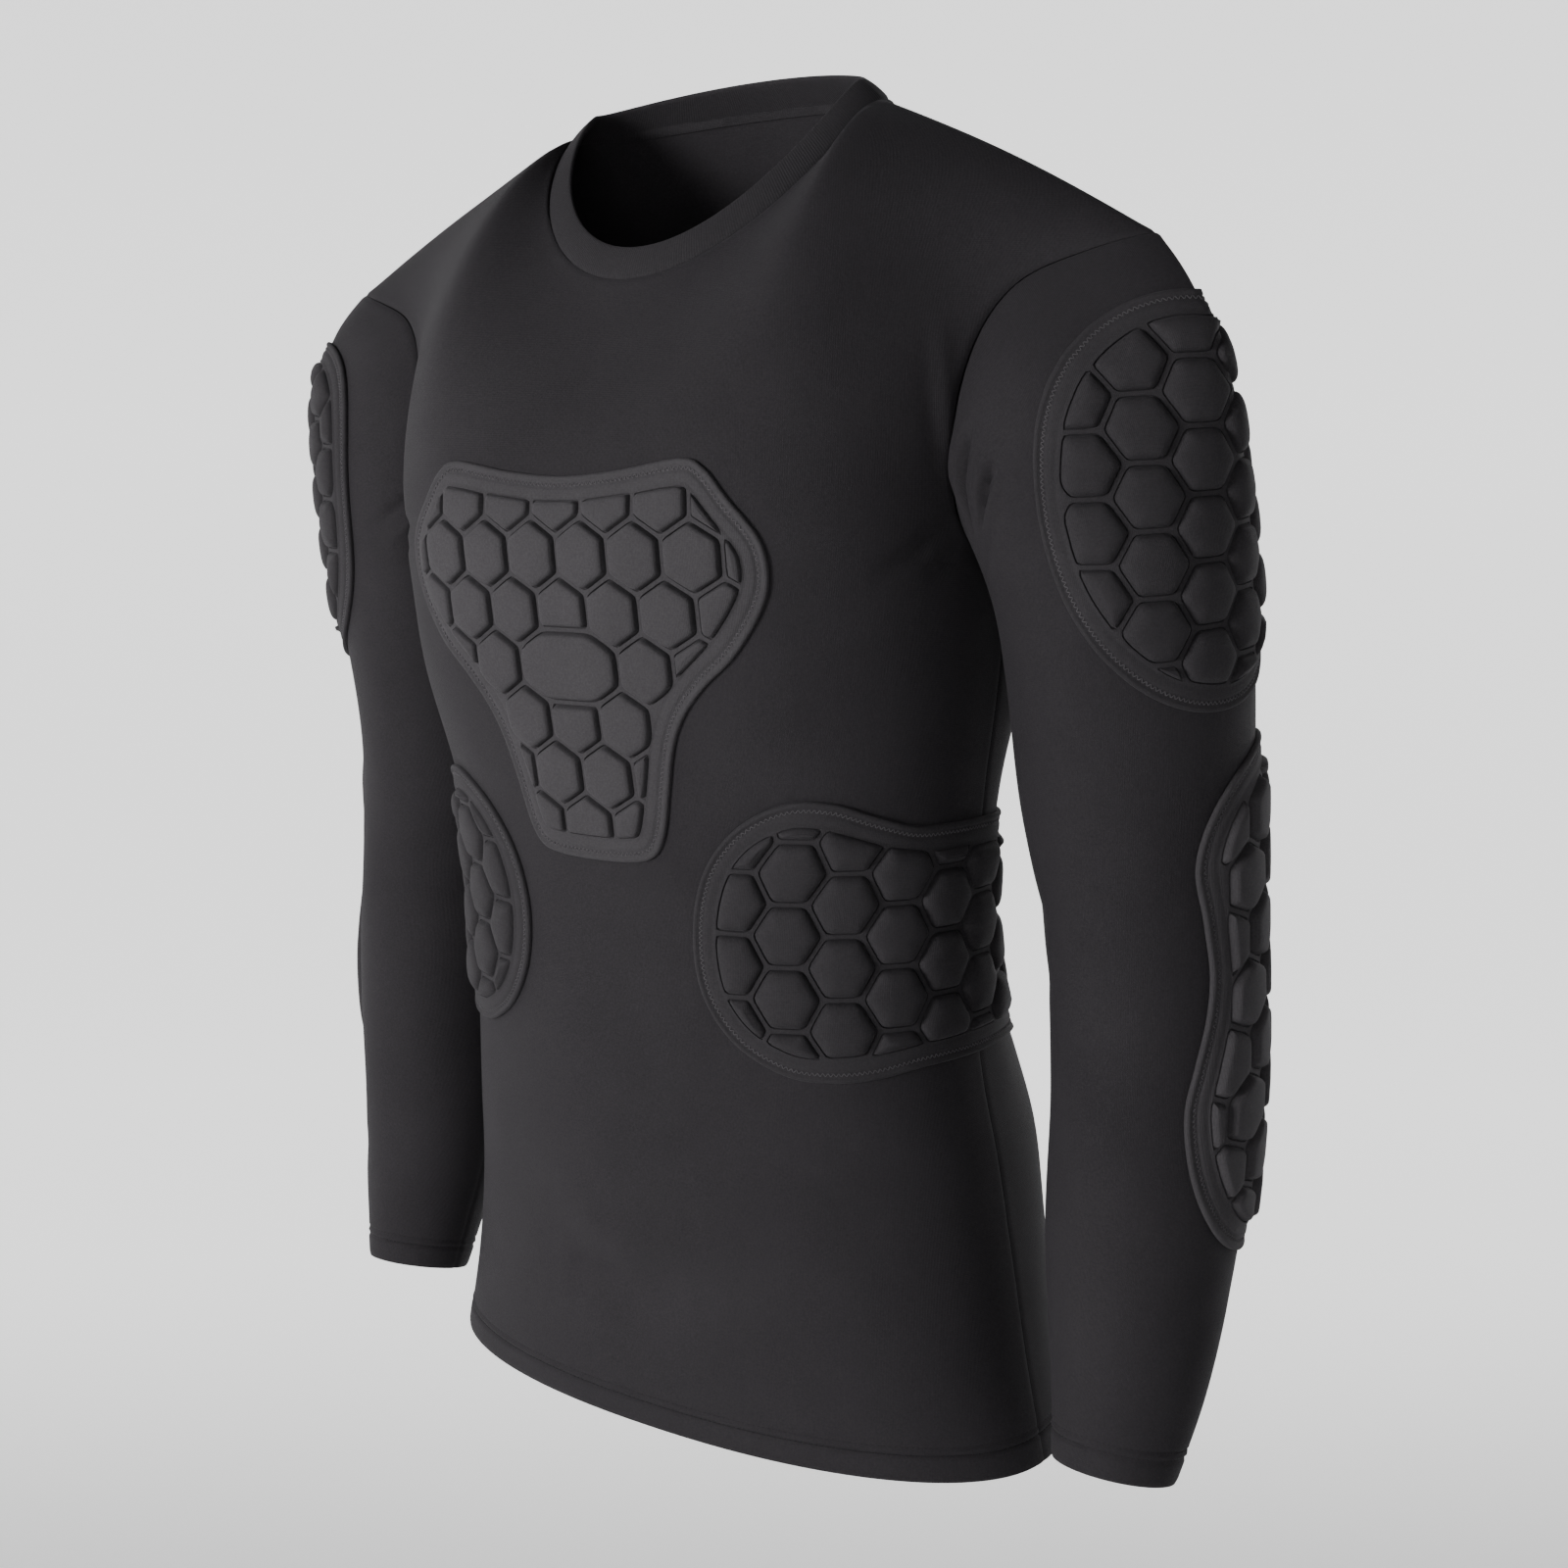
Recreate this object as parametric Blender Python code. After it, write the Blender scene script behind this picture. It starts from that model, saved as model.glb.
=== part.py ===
"""Padded compression shirt, filled out as worn, with nobody in it.

Metres, +Z up, the front faces -Y and +X is the wearer's left. The origin lies between the two
points where the shoulder seams meet the neckband, where the wearer's neck and shoulders hold it.
The front and the back are two grids that share a side seam, a shoulder seam and a neckline. Each
sleeve is a tube of rings that starts on the armhole. The pads lie on these grids.
"""

import math
from collections import namedtuple

import bpy
import numpy as np
from mathutils.geometry import delaunay_2d_cdt

# Cloth
WALL = 0.0015
SEAM_GAP = 0.0003
FRONT, BACK = -1.0, 1.0

# Grid counts
PANEL_COLUMNS = 24
BODY_ROWS = 9
ARMHOLE_ROWS = 10
SLEEVE_CAP_ROWS = 6
ARM_ROWS = 11

# Torso below the armholes, one row for each level of the body
Level = namedtuple("Level", "z half_width seam_y front back square")
LEVELS = (
    Level(z=-0.697, half_width=0.196, seam_y=0.016, front=0.089, back=0.116, square=2.2),
    Level(z=-0.646, half_width=0.184, seam_y=0.018, front=0.096, back=0.126, square=2.2),
    Level(z=-0.586, half_width=0.174, seam_y=0.017, front=0.101, back=0.138, square=2.2),
    Level(z=-0.536, half_width=0.168, seam_y=0.012, front=0.103, back=0.142, square=2.2),
    Level(z=-0.496, half_width=0.162, seam_y=0.007, front=0.104, back=0.128, square=2.2),
    Level(z=-0.456, half_width=0.158, seam_y=0.004, front=0.105, back=0.100, square=2.2),
    Level(z=-0.406, half_width=0.158, seam_y=0.003, front=0.107, back=0.070, square=2.2),
    Level(z=-0.346, half_width=0.162, seam_y=0.003, front=0.115, back=0.071, square=2.4),
    Level(z=-0.286, half_width=0.169, seam_y=0.004, front=0.127, back=0.084, square=2.8),
    Level(z=-0.228, half_width=0.172, seam_y=0.006, front=0.138, back=0.091, square=2.9),
)
UNDERARM_Z = LEVELS[-1].z
HEM_Z = LEVELS[0].z

# Neckline and shoulder seam
NECK_HALF_WIDTH = 0.100
NECK_SHARE = 0.5
NECK = {FRONT: (-0.080, 0.088), BACK: (0.047, -0.0125)}
SHOULDER_POINT = (0.257, -0.014, -0.077)
SHOULDER_CURVE = 0.004
CORNER_EASE = 0.20

# How deep the armhole is cut into each panel, as a share of its half width
ARMHOLE_CUT = {FRONT: 0.215, BACK: 0.170}

# Sleeve, one row for each station down the arm
Station = namedtuple("Station", "x y z across deep")
STATIONS = (
    Station(x=0.2270, y=0.006, z=-0.206, across=0.0620, deep=0.0690),
    Station(x=0.2300, y=0.021, z=-0.268, across=0.0600, deep=0.0657),
    Station(x=0.2320, y=0.030, z=-0.336, across=0.0575, deep=0.0617),
    Station(x=0.2410, y=0.030, z=-0.406, across=0.0510, deep=0.0560),
    Station(x=0.2462, y=0.0275, z=-0.486, across=0.0492, deep=0.0550),
    Station(x=0.2446, y=0.0225, z=-0.566, across=0.0476, deep=0.0504),
    Station(x=0.2460, y=0.0085, z=-0.636, across=0.0393, deep=0.0385),
    Station(x=0.2448, y=-0.003, z=-0.679, across=0.0313, deep=0.0300),
)

# Neckband
BAND_WIDTH = 0.018
BAND_WALL = 0.0022
BAND_SWELL = 0.0008
BAND_ROWS = 4

# Pads
PAD_GAP = 0.0003
FLANGE_THICKNESS = 0.0020
FLANGE_WIDTH = 0.012
OUTLINE_STEP = 0.010
GROOVE = 0.0026
CELL_SHOULDER = 0.0064
CELL_CROWN = 0.0074
CELL_BEVEL = 0.0024
SMALLEST_CELL = 0.000035

# A field of six-sided cells, tilted by some degrees. point_up cells have a corner on top, the
# others an edge.
Field = namedtuple("Field", "x y radius stretch tilt point_up")
CHEST_FIELD = Field(x=0.0, y=-0.279, radius=0.0183, stretch=1.0, tilt=0, point_up=True)
RIB_FIELD = Field(x=0.0, y=-0.410, radius=0.0182, stretch=1.03, tilt=0, point_up=False)
SHOULDER_FIELD = Field(x=-0.022, y=0.0625, radius=0.0179, stretch=1.0, tilt=-6, point_up=False)
ELBOW_FIELD = Field(x=0.029, y=-0.1676, radius=0.01875, stretch=1.0, tilt=0, point_up=True)

# Half of a pad's outline, from its top round one side to its bottom. out is the way from its middle.
Edge = namedtuple("Edge", "out y")
CHEST_EDGE = (
    Edge(0.0, -0.1865), Edge(0.035, -0.184), Edge(0.073, -0.1785), Edge(0.0865, -0.183),
    Edge(0.098, -0.1965), Edge(0.1125, -0.215), Edge(0.1155, -0.233), Edge(0.110, -0.250),
    Edge(0.095, -0.271), Edge(0.077, -0.287), Edge(0.064, -0.302), Edge(0.056, -0.318),
    Edge(0.050, -0.340), Edge(0.0445, -0.362), Edge(0.037, -0.374), Edge(0.0235, -0.378),
    Edge(0.0, -0.379),
)
RIB_EDGE = (
    Edge(0.0, -0.356), Edge(0.030, -0.356), Edge(0.050, -0.3555), Edge(0.072, -0.3495),
    Edge(0.095, -0.3425), Edge(0.118, -0.343), Edge(0.140, -0.356), Edge(0.154, -0.379),
    Edge(0.158, -0.411), Edge(0.153, -0.443), Edge(0.137, -0.468), Edge(0.113, -0.4825),
    Edge(0.090, -0.4855), Edge(0.068, -0.484), Edge(0.040, -0.4795), Edge(0.0, -0.4785),
)
ELBOW_EDGE = (
    Edge(0.0, -0.050), Edge(0.022, -0.053), Edge(0.042, -0.061), Edge(0.058, -0.077),
    Edge(0.0655, -0.098), Edge(0.061, -0.124), Edge(0.0575, -0.150), Edge(0.060, -0.171),
    Edge(0.0665, -0.193), Edge(0.071, -0.214), Edge(0.067, -0.241), Edge(0.057, -0.266),
    Edge(0.041, -0.288), Edge(0.021, -0.302), Edge(0.0, -0.307),
)
SHOULDER_HALF_WIDTH = 0.0835
SHOULDER_HALF_HEIGHT = 0.0985
SHOULDER_MIDDLE = (-0.016, 0.0725)
SHOULDER_TILT = 3.0

# The sleeve is pressed flat where it would enter the body and the rib pad
ARM_INNER_LIMIT = 0.1775
ARM_INNER_ROUND = 0.005
BICEPS_Z = STATIONS[1].z
CUFF_Z = STATIONS[-1].z


def smooth(xs, ys, at):
    """A cubic through the points (xs, ys), with slopes taken from the neighbours."""
    xs, ys, at = np.asarray(xs, float), np.asarray(ys, float), np.asarray(at, float)
    slopes = np.gradient(ys, xs)
    i = np.clip(np.searchsorted(xs, at) - 1, 0, len(xs) - 2)
    step = xs[i + 1] - xs[i]
    t = (at - xs[i]) / step
    return (
        ys[i] * (2 * t**3 - 3 * t**2 + 1)
        + slopes[i] * step * (t**3 - 2 * t**2 + t)
        + ys[i + 1] * (3 * t**2 - 2 * t**3)
        + slopes[i + 1] * step * (t**3 - t**2)
    )


def column(table, name, key, at):
    """One named column of a table, read smoothly at any value of its key column."""
    rows = sorted(table, key=lambda row: getattr(row, key))
    return smooth([getattr(r, key) for r in rows], [getattr(r, name) for r in rows], at)


def unit(vectors):
    return vectors / np.linalg.norm(vectors, axis=-1, keepdims=True)


def bezier(start, start_arm, end, end_arm, t):
    """A cubic curve between two sets of points, with a handle at each end."""
    t = t[..., None]
    return (
        start * (1 - t) ** 3
        + 3 * (start + start_arm) * t * (1 - t) ** 2
        + 3 * (end + end_arm) * t**2 * (1 - t)
        + end * t**3
    )


def body_section(z, share, facing):
    """A point on the torso below the armholes. share runs from -1 at the right side seam to 1."""
    half_width = column(LEVELS, "half_width", "z", z)
    seam_y = column(LEVELS, "seam_y", "z", z)
    depth = column(LEVELS, "front" if facing == FRONT else "back", "z", z)
    power = 2 / column(LEVELS, "square", "z", z)
    angles = np.linspace(0, math.pi / 2, 61)
    across = half_width[..., None] * np.sin(angles) ** power[..., None]
    along = depth[..., None] * np.cos(angles).clip(0) ** power[..., None]
    steps = np.hypot(np.diff(across), np.diff(along))
    length = np.concatenate([np.zeros(steps.shape[:-1] + (1,)), np.cumsum(steps, -1)], -1)
    target = np.abs(share) * length[..., -1]
    flat_length, flat_target = length.reshape(-1, 61), target.reshape(-1)
    x = [np.interp(t, l, a) for t, l, a in zip(flat_target, flat_length, across.reshape(-1, 61))]
    y = [np.interp(t, l, a) for t, l, a in zip(flat_target, flat_length, along.reshape(-1, 61))]
    x, y = np.reshape(x, target.shape), np.reshape(y, target.shape)
    return np.stack([np.sign(share) * x, seam_y + facing * y, z + 0 * x], -1)


def top_edge(share, facing):
    """A point on the neckline or on the shoulder seam, and the handle of the column there."""
    depth, drop = NECK[facing]
    side = np.sign(share)
    turn = np.clip(np.abs(share) / NECK_SHARE, 0, 1) * math.pi / 2
    neck = np.stack([side * NECK_HALF_WIDTH * np.sin(turn),
                     depth * np.cos(turn),
                     -drop * np.cos(turn) ** 1.3], -1)
    along = np.clip((np.abs(share) - NECK_SHARE) / (1 - NECK_SHARE), 0, 1)
    x, y, z = SHOULDER_POINT
    seam = np.stack([side * (NECK_HALF_WIDTH + (x - NECK_HALF_WIDTH) * along),
                     y * along,
                     z * along + SHOULDER_CURVE * np.sin(math.pi * along)], -1)
    point = np.where((np.abs(share) < NECK_SHARE)[..., None], neck, seam)
    lean = np.clip(np.abs(share) / NECK_SHARE, 0, 1) ** 1.5 * 0.8 - 0.35 * along
    towards_ridge = np.stack([0 * lean, -facing * (0.45 + 0.55 * lean), 0.9 - 0.86 * lean], -1)
    return point, -unit(towards_ridge)


def eased_edge(share, rise, facing):
    """The top edge with its corner at the neck rounded off, more so further down the cloth."""
    size = np.abs(share)
    near = np.exp(-((size - NECK_SHARE) / 0.25) ** 2) * np.clip((1 - size) / 0.3, 0, 1)
    spread = CORNER_EASE * (1 - rise) * near
    point, handle = np.zeros(share.shape + (3,)), np.zeros(share.shape + (3,))
    for offset in np.linspace(-1, 1, 9):
        tap, tap_handle = top_edge(share + offset * spread, facing)
        weight = (1.1 - abs(offset)) / 4.9
        point += tap * weight
        handle += tap_handle * weight
    return point, unit(handle)


def armhole_share(row, facing):
    """How far the panel reaches at a row above the underarm, 0, up to the shoulder point, 1."""
    rows = (0.0, 0.1, 0.3, 0.55, 0.75, 0.87, 1.0)
    cut = (0.0, 0.36, 0.86, 1.0, 0.72, 0.34, 0.0)
    return 1 - ARMHOLE_CUT[facing] * smooth(rows, cut, row)


def panel_surface(share, row, facing):
    """A point on the front or back. row is 0 at the hem, 1 at the underarm, 2 at the top edge."""
    share, row = np.broadcast_arrays(np.asarray(share, float), np.asarray(row, float))
    z = HEM_Z + (UNDERARM_Z - HEM_Z) * np.clip(row, 0, 1)
    low = body_section(z, share, facing)
    upper = np.clip(row - 1, 0, 1) ** 0.8
    reach = share * armhole_share(upper, facing)
    rise = 1 - np.cos(upper * math.pi / 2)
    start = body_section(0 * reach + UNDERARM_Z, reach, facing)
    below = body_section(0 * reach + UNDERARM_Z - 0.01, reach, facing)
    end, end_handle = eased_edge(reach, rise, facing)
    span = np.linalg.norm(end - start, axis=-1, keepdims=True)
    high = bezier(start, unit(start - below) * span * 0.40, end, end_handle * span * 0.28, rise)
    return np.where((row > 1)[..., None], high, low)


def arm_centre(z):
    return np.stack([column(STATIONS, "x", "z", z), column(STATIONS, "y", "z", z), z], -1)


def arm_ring(z, angle):
    """A point on the arm, and its axis. angle is 0 on the outer side, a quarter turn in front."""
    axis = unit(arm_centre(z - 0.001) - arm_centre(z + 0.001))
    ahead = unit(np.cross(axis, np.broadcast_to([1.0, 0.0, 0.0], axis.shape)))
    outward = np.cross(ahead, axis)
    across = column(STATIONS, "across", "z", z)[..., None]
    deep = column(STATIONS, "deep", "z", z)[..., None]
    c, s = np.cos(angle)[..., None], np.sin(angle)[..., None]
    point = arm_centre(z) + outward * across * c + ahead * deep * s
    past = point[..., 0] - ARM_INNER_LIMIT
    point[..., 0] = ARM_INNER_LIMIT + 0.5 * (past + np.sqrt(past**2 + ARM_INNER_ROUND**2))
    return point, axis


def sleeve_surface(turn, row):
    """A point on the left sleeve. turn is 0 at the underarm, 0.5 at the shoulder point, through
    the front, and 1 at the underarm again. row is 0 on the armhole, 1 at the biceps, 2 at the cuff.
    """
    turn, row = np.broadcast_arrays(np.asarray(turn, float), np.asarray(row, float))
    angle = math.pi * (1 - 2 * turn)
    front = panel_surface(1.0, 1 + np.clip(2 * turn, 0, 1), FRONT)
    back = panel_surface(1.0, 1 + np.clip(2 - 2 * turn, 0, 1), BACK)
    start = np.where((turn <= 0.5)[..., None], front, back)
    end, axis = arm_ring(0 * turn + BICEPS_Z, angle)
    low_side = (1 - np.cos(angle)) / 2
    dip = np.radians(42 + 14 * low_side)
    forward = 0.30 * (1 - low_side) + 0.45 * np.sin(angle)
    leave = np.stack([np.cos(dip), -forward, -np.sin(dip)], -1)
    span = np.linalg.norm(end - start, axis=-1, keepdims=True)
    cap = bezier(start, unit(leave) * span * 0.40, end, -axis * span * 0.46, np.clip(row, 0, 1))
    z = BICEPS_Z + (CUFF_Z - BICEPS_Z) * np.clip(row - 1, 0, 1)
    arm, _ = arm_ring(z, angle)
    return np.where((row > 1)[..., None], arm, cap)


def normals_of(surface, u, v, u_range, v_range, step=1e-3):
    """Outward unit normals of a surface, from small steps that stay inside its ranges."""
    u, v = np.broadcast_arrays(u, v)
    u0, u1 = np.clip(u - step, *u_range), np.clip(u + step, *u_range)
    v0, v1 = np.clip(v - step, *v_range), np.clip(v + step, *v_range)
    return unit(np.cross(surface(u1, v) - surface(u0, v), surface(u, v1) - surface(u, v0)))


def pulled_in(points, rows, columns, distance):
    """The grid with its border moved in by a distance, at the rows and columns named."""
    points = points.copy()
    for axis, ends in ((0, rows), (1, columns)):
        grid = np.moveaxis(points, axis, 0)
        for end, inner in ends:
            grid[end] += unit(grid[inner] - grid[end]) * distance
    return points


def grid_triangles(index, turned):
    """Two triangles for each cell of a grid of point numbers. turned flips a column's diagonal."""
    made = []
    for low, high in zip(index[:-1], index[1:]):
        for c, flip in enumerate(turned):
            a, b, d, e = int(low[c]), int(low[c + 1]), int(high[c]), int(high[c + 1])
            made += [(a, b, d), (b, e, d)] if flip else [(a, b, e), (a, e, d)]
    return made


# A grid of points on the cloth, its outward normals, its flattened coordinates and its diagonals
Sheet = namedtuple("Sheet", "points normals plane turned")


def wall_mesh(outer, normals, turned, closed, thickness):
    """The points and faces of a wall whose outer side is a grid. closed joins its columns."""
    rows, columns = outer.shape[:2]
    points = np.concatenate([outer.reshape(-1, 3), (outer - normals * thickness).reshape(-1, 3)])
    index = np.arange(rows * columns).reshape(rows, columns)
    if closed:
        index = np.concatenate([index, index[:, :1]], 1)
    shift = rows * columns
    outside = grid_triangles(index, turned)
    faces = outside + [(c + shift, b + shift, a + shift) for a, b, c in outside]
    rims = [index[0], index[-1][::-1]]
    if not closed:
        rims += [index[::-1, 0], index[:, -1]]
    for rim in rims:
        for a, b in zip(rim[:-1].tolist(), rim[1:].tolist()):
            faces.append((b, a, a + shift, b + shift))
    return points, faces


def make_material(name, colour, roughness):
    material = bpy.data.materials.new(name)
    material.use_nodes = True
    shader = material.node_tree.nodes["Principled BSDF"]
    shader.inputs["Base Color"].default_value = (*colour, 1.0)
    shader.inputs["Roughness"].default_value = roughness
    shader.inputs["Metallic"].default_value = 0.0
    return material


def add_object(name, points, faces, colour, roughness):
    mesh = bpy.data.meshes.new(name)
    mesh.from_pydata([tuple(p) for p in points], [], faces)
    mesh.update()
    mesh.shade_smooth()
    mesh.set_sharp_from_angle(angle=math.radians(50))
    mesh.materials.append(make_material(name, colour, roughness))
    made = bpy.data.objects.new(name, mesh)
    bpy.context.scene.collection.objects.link(made)
    return made


def mirrored(points, faces):
    return points * np.array([-1, 1, 1]), [tuple(reversed(f)) for f in faces]


def panel_sheet(facing):
    """The front or the back as a sheet. Its flattened x is the way along a row from the middle."""
    shares = np.linspace(-1, 1, PANEL_COLUMNS + 1)
    rows = np.concatenate([np.linspace(0, 1, BODY_ROWS, endpoint=False),
                           np.linspace(1, 2, ARMHOLE_ROWS + 1)])
    u, v = shares[None, :], rows[:, None]

    def surface(u, v):
        return panel_surface(u, v, facing)

    points = surface(u, v)
    normals = normals_of(surface, u, v, (-1, 1), (0, 2)) * -facing
    seam = np.abs(shares) >= NECK_SHARE
    normals[-1, seam, 1] = 0
    normals[-1, seam] = unit(normals[-1, seam])
    steps = np.linalg.norm(np.diff(points, axis=1), axis=-1)
    along = np.concatenate([np.zeros((len(rows), 1)), np.cumsum(steps, 1)], 1)
    along -= along[:, PANEL_COLUMNS // 2, None]
    plane = np.stack([along, points[..., 2]], -1)
    turned = [c >= PANEL_COLUMNS // 2 for c in range(PANEL_COLUMNS)]
    return Sheet(points, normals, plane, turned)


def side_sheet(front, back):
    """The left side below the armhole, from the middle of the front round to the back."""
    half, rows = PANEL_COLUMNS // 2, BODY_ROWS + 1
    points = np.concatenate([front.points[:rows, half:], back.points[:rows, half:-1][:, ::-1]], 1)
    seam = unit(front.normals[:rows, -1:] + back.normals[:rows, -1:])
    normals = np.concatenate([front.normals[:rows, half:-1], seam,
                              back.normals[:rows, half:-1][:, ::-1]], 1)
    steps = np.linalg.norm(np.diff(points, axis=1), axis=-1)
    along = np.concatenate([np.zeros((rows, 1)), np.cumsum(steps, 1)], 1)
    along -= along[:, half, None]
    plane = np.stack([along, points[..., 2]], -1)
    return Sheet(points, normals, plane, [True] * half + [False] * half)


def sleeve_sheet():
    """The left sleeve, cut open at the underarm. Its flattened x starts at the outer side."""
    turns = np.linspace(0, 1, 2 * ARMHOLE_ROWS + 1)
    rows = np.concatenate([np.linspace(0, 1, SLEEVE_CAP_ROWS, endpoint=False),
                           np.linspace(1, 2, ARM_ROWS + 1)])
    u, v = turns[None, :], rows[:, None]
    points = sleeve_surface(u, v)
    normals = -normals_of(sleeve_surface, u, v, (0, 1), (0, 2))
    normals[:, 0] = normals[:, -1] = unit(normals[:, 0] + normals[:, -1])
    steps = np.linalg.norm(np.diff(points, axis=1), axis=-1)
    along = np.concatenate([np.zeros((len(rows), 1)), np.cumsum(steps, 1)], 1)
    along -= along[:, ARMHOLE_ROWS, None]
    drops = np.linalg.norm(np.diff(points, axis=0), axis=-1)
    down = np.concatenate([np.zeros((1, len(turns))), np.cumsum(drops, 0)], 0)
    down -= down[SLEEVE_CAP_ROWS]
    plane = np.stack([along, -down], -1)
    return Sheet(points, normals, plane, [True] * (2 * ARMHOLE_ROWS))


def neckband(front, back):
    """The band round the neckline, which rises from it and leans in. It evens out the normals
    that it shares with the panels, so that their walls only meet."""
    first, last = PANEL_COLUMNS // 4, PANEL_COLUMNS - PANEL_COLUMNS // 4
    ring = [(front, c) for c in range(first, last)] + [(back, c) for c in range(last, first, -1)]
    seam = np.array([sheet.points[-1, c] for sheet, c in ring])
    panel = np.array([sheet.normals[-1, c] for sheet, c in ring])
    turn = (np.array([c for _, c in ring]) / PANEL_COLUMNS * 2 - 1) / NECK_SHARE * math.pi / 2
    ahead = np.cos(turn) * np.array([1.0 if sheet is front else -1.0 for sheet, _ in ring])
    rise = unit(np.stack([-0.78 * np.sin(turn),
                          np.where(ahead > 0, 0.42, 0.75) * ahead,
                          0.62 + np.where(ahead > 0, 0.30, 0.10) * ahead**2], -1))
    around = unit(np.roll(seam, -1, 0) - np.roll(seam, 1, 0))
    own = unit(np.cross(around, rise))
    shared = unit(own + panel)
    for (sheet, c), normal in zip(ring, shared):
        sheet.normals[-1, c] = normal
    front.normals[-1, last], back.normals[-1, first] = back.normals[-1, last], shared[0]
    share = np.linspace(0, 1, BAND_ROWS)[:, None, None]
    start = SEAM_GAP * (1 + 2 * np.abs(np.sin(turn))[:, None] ** 3)
    reach = start + (BAND_WIDTH - start) * share
    outer = seam + rise * reach + own * BAND_SWELL * np.sin(math.pi * share)
    normals = np.concatenate([shared[None], np.broadcast_to(own, (BAND_ROWS - 1,) + own.shape)])
    return wall_mesh(outer, normals, [True] * len(ring), True, BAND_WALL)


def smooth_loop(corners, step):
    """A closed curve through the corners, with points about one step apart."""
    corners = np.asarray(corners, float)
    t = np.linspace(0, 1, 12, endpoint=False)[:, None]
    parts = []
    for i in range(len(corners)):
        a, b, c, d = (corners[(i + k) % len(corners)] for k in (-1, 0, 1, 2))
        parts.append(b + 0.5 * t * (c - a + t * (2 * a - 5 * b + 4 * c - d
                                                + t * (3 * (b - c) + d - a))))
    fine = np.concatenate(parts)
    length = np.concatenate([[0], np.cumsum(np.linalg.norm(np.roll(fine, -1, 0) - fine, axis=1))])
    count = max(12, round(length[-1] / step))
    at = np.linspace(0, length[-1], count, endpoint=False)
    closed = np.concatenate([fine, fine[:1]])
    return np.stack([np.interp(at, length, closed[:, k]) for k in (0, 1)], -1)


def mirrored_outline(edges, middle):
    """The whole outline of a pad, from one half of it, the other way round to the clock."""
    left = [(middle - e.out, e.y) for e in edges]
    right = [(middle + e.out, e.y) for e in edges[1:-1]]
    return left + right[::-1]


def oval_outline():
    angles = np.linspace(math.pi / 2, 2.5 * math.pi, 24, endpoint=False)
    x, y = SHOULDER_HALF_WIDTH * np.cos(angles), SHOULDER_HALF_HEIGHT * np.sin(angles)
    tilt = math.radians(SHOULDER_TILT)
    return [(SHOULDER_MIDDLE[0] + a * math.cos(tilt) - b * math.sin(tilt),
             SHOULDER_MIDDLE[1] + a * math.sin(tilt) + b * math.cos(tilt)) for a, b in zip(x, y)]


def moved_in(loop, distance):
    """A closed curve moved in by a distance. Points that come too near to the curve are dropped."""
    ahead = unit(np.roll(loop, -1, 0) - np.roll(loop, 1, 0))
    inner = loop + np.stack([-ahead[:, 1], ahead[:, 0]], -1) * distance
    nearest = np.linalg.norm(inner[:, None] - loop[None], axis=-1).min(1)
    return inner[nearest > distance * 0.985]


def half_plane(shape, point, normal):
    """The part of a closed shape on the side of a line that its normal points away from."""
    side = (shape - point) @ normal
    made = []
    for i, here in enumerate(shape):
        after, there = side[(i + 1) % len(shape)], shape[(i + 1) % len(shape)]
        if side[i] <= 0:
            made.append(here)
        if (side[i] < 0 < after) or (after < 0 < side[i]):
            made.append(here + (there - here) * side[i] / (side[i] - after))
    return np.array(made).reshape(-1, 2)


def clipped(shape, cell, shrink):
    """The part of a shape inside a six-sided or other convex cell, less a margin."""
    for a, b in zip(cell, np.roll(cell, -1, 0)):
        if len(shape) < 3:
            return shape
        ahead = unit(b - a)
        normal = np.array([ahead[1], -ahead[0]])
        shape = half_plane(shape, a - normal * shrink, normal)
    return shape


def area_of(shape):
    x, y = shape[:, 0], shape[:, 1]
    return 0.5 * float(np.sum(x * np.roll(y, -1) - y * np.roll(x, -1)))


def simplified(shape, closest, flattest):
    """A shape without its points that are nearly in line or too near to the next one."""
    points = list(shape)
    while len(points) > 3:
        worst, cost = None, 1.0
        for i in range(len(points)):
            a, b, c = points[i - 1], points[i], points[(i + 1) % len(points)]
            base = np.linalg.norm(c - a)
            height = abs((b - a)[0] * (c - a)[1] - (b - a)[1] * (c - a)[0]) / max(base, 1e-9)
            near = min(np.linalg.norm(b - a), np.linalg.norm(c - b))
            score = min(height / flattest, near / closest)
            if score < cost:
                worst, cost = i, score
        if worst is None:
            break
        points.pop(worst)
    return np.array(points)


def lattice(field):
    """The centres of a field of cells, as steps across and up from its middle cell."""
    wide, tall = math.sqrt(3) * field.radius, 1.5 * field.radius
    for i in range(-7, 8):
        for j in range(-6, 7):
            if field.point_up:
                yield i, j, ((j + 0.5 * (i % 2)) * wide, i * tall)
            else:
                yield i, j, (i * tall, (j + 0.5 * (i % 2)) * wide)


def six_sided(field, centre):
    start = 90 if field.point_up else 0
    angles = np.radians(start + 60 * np.arange(6))
    x = np.cos(angles) * field.radius + centre[0]
    y = (np.sin(angles) * field.radius + centre[1]) * field.stretch
    c, s = math.cos(math.radians(field.tilt)), math.sin(math.radians(field.tilt))
    return np.stack([field.x + x * c - y * s, field.y + x * s + y * c], -1)


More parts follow.
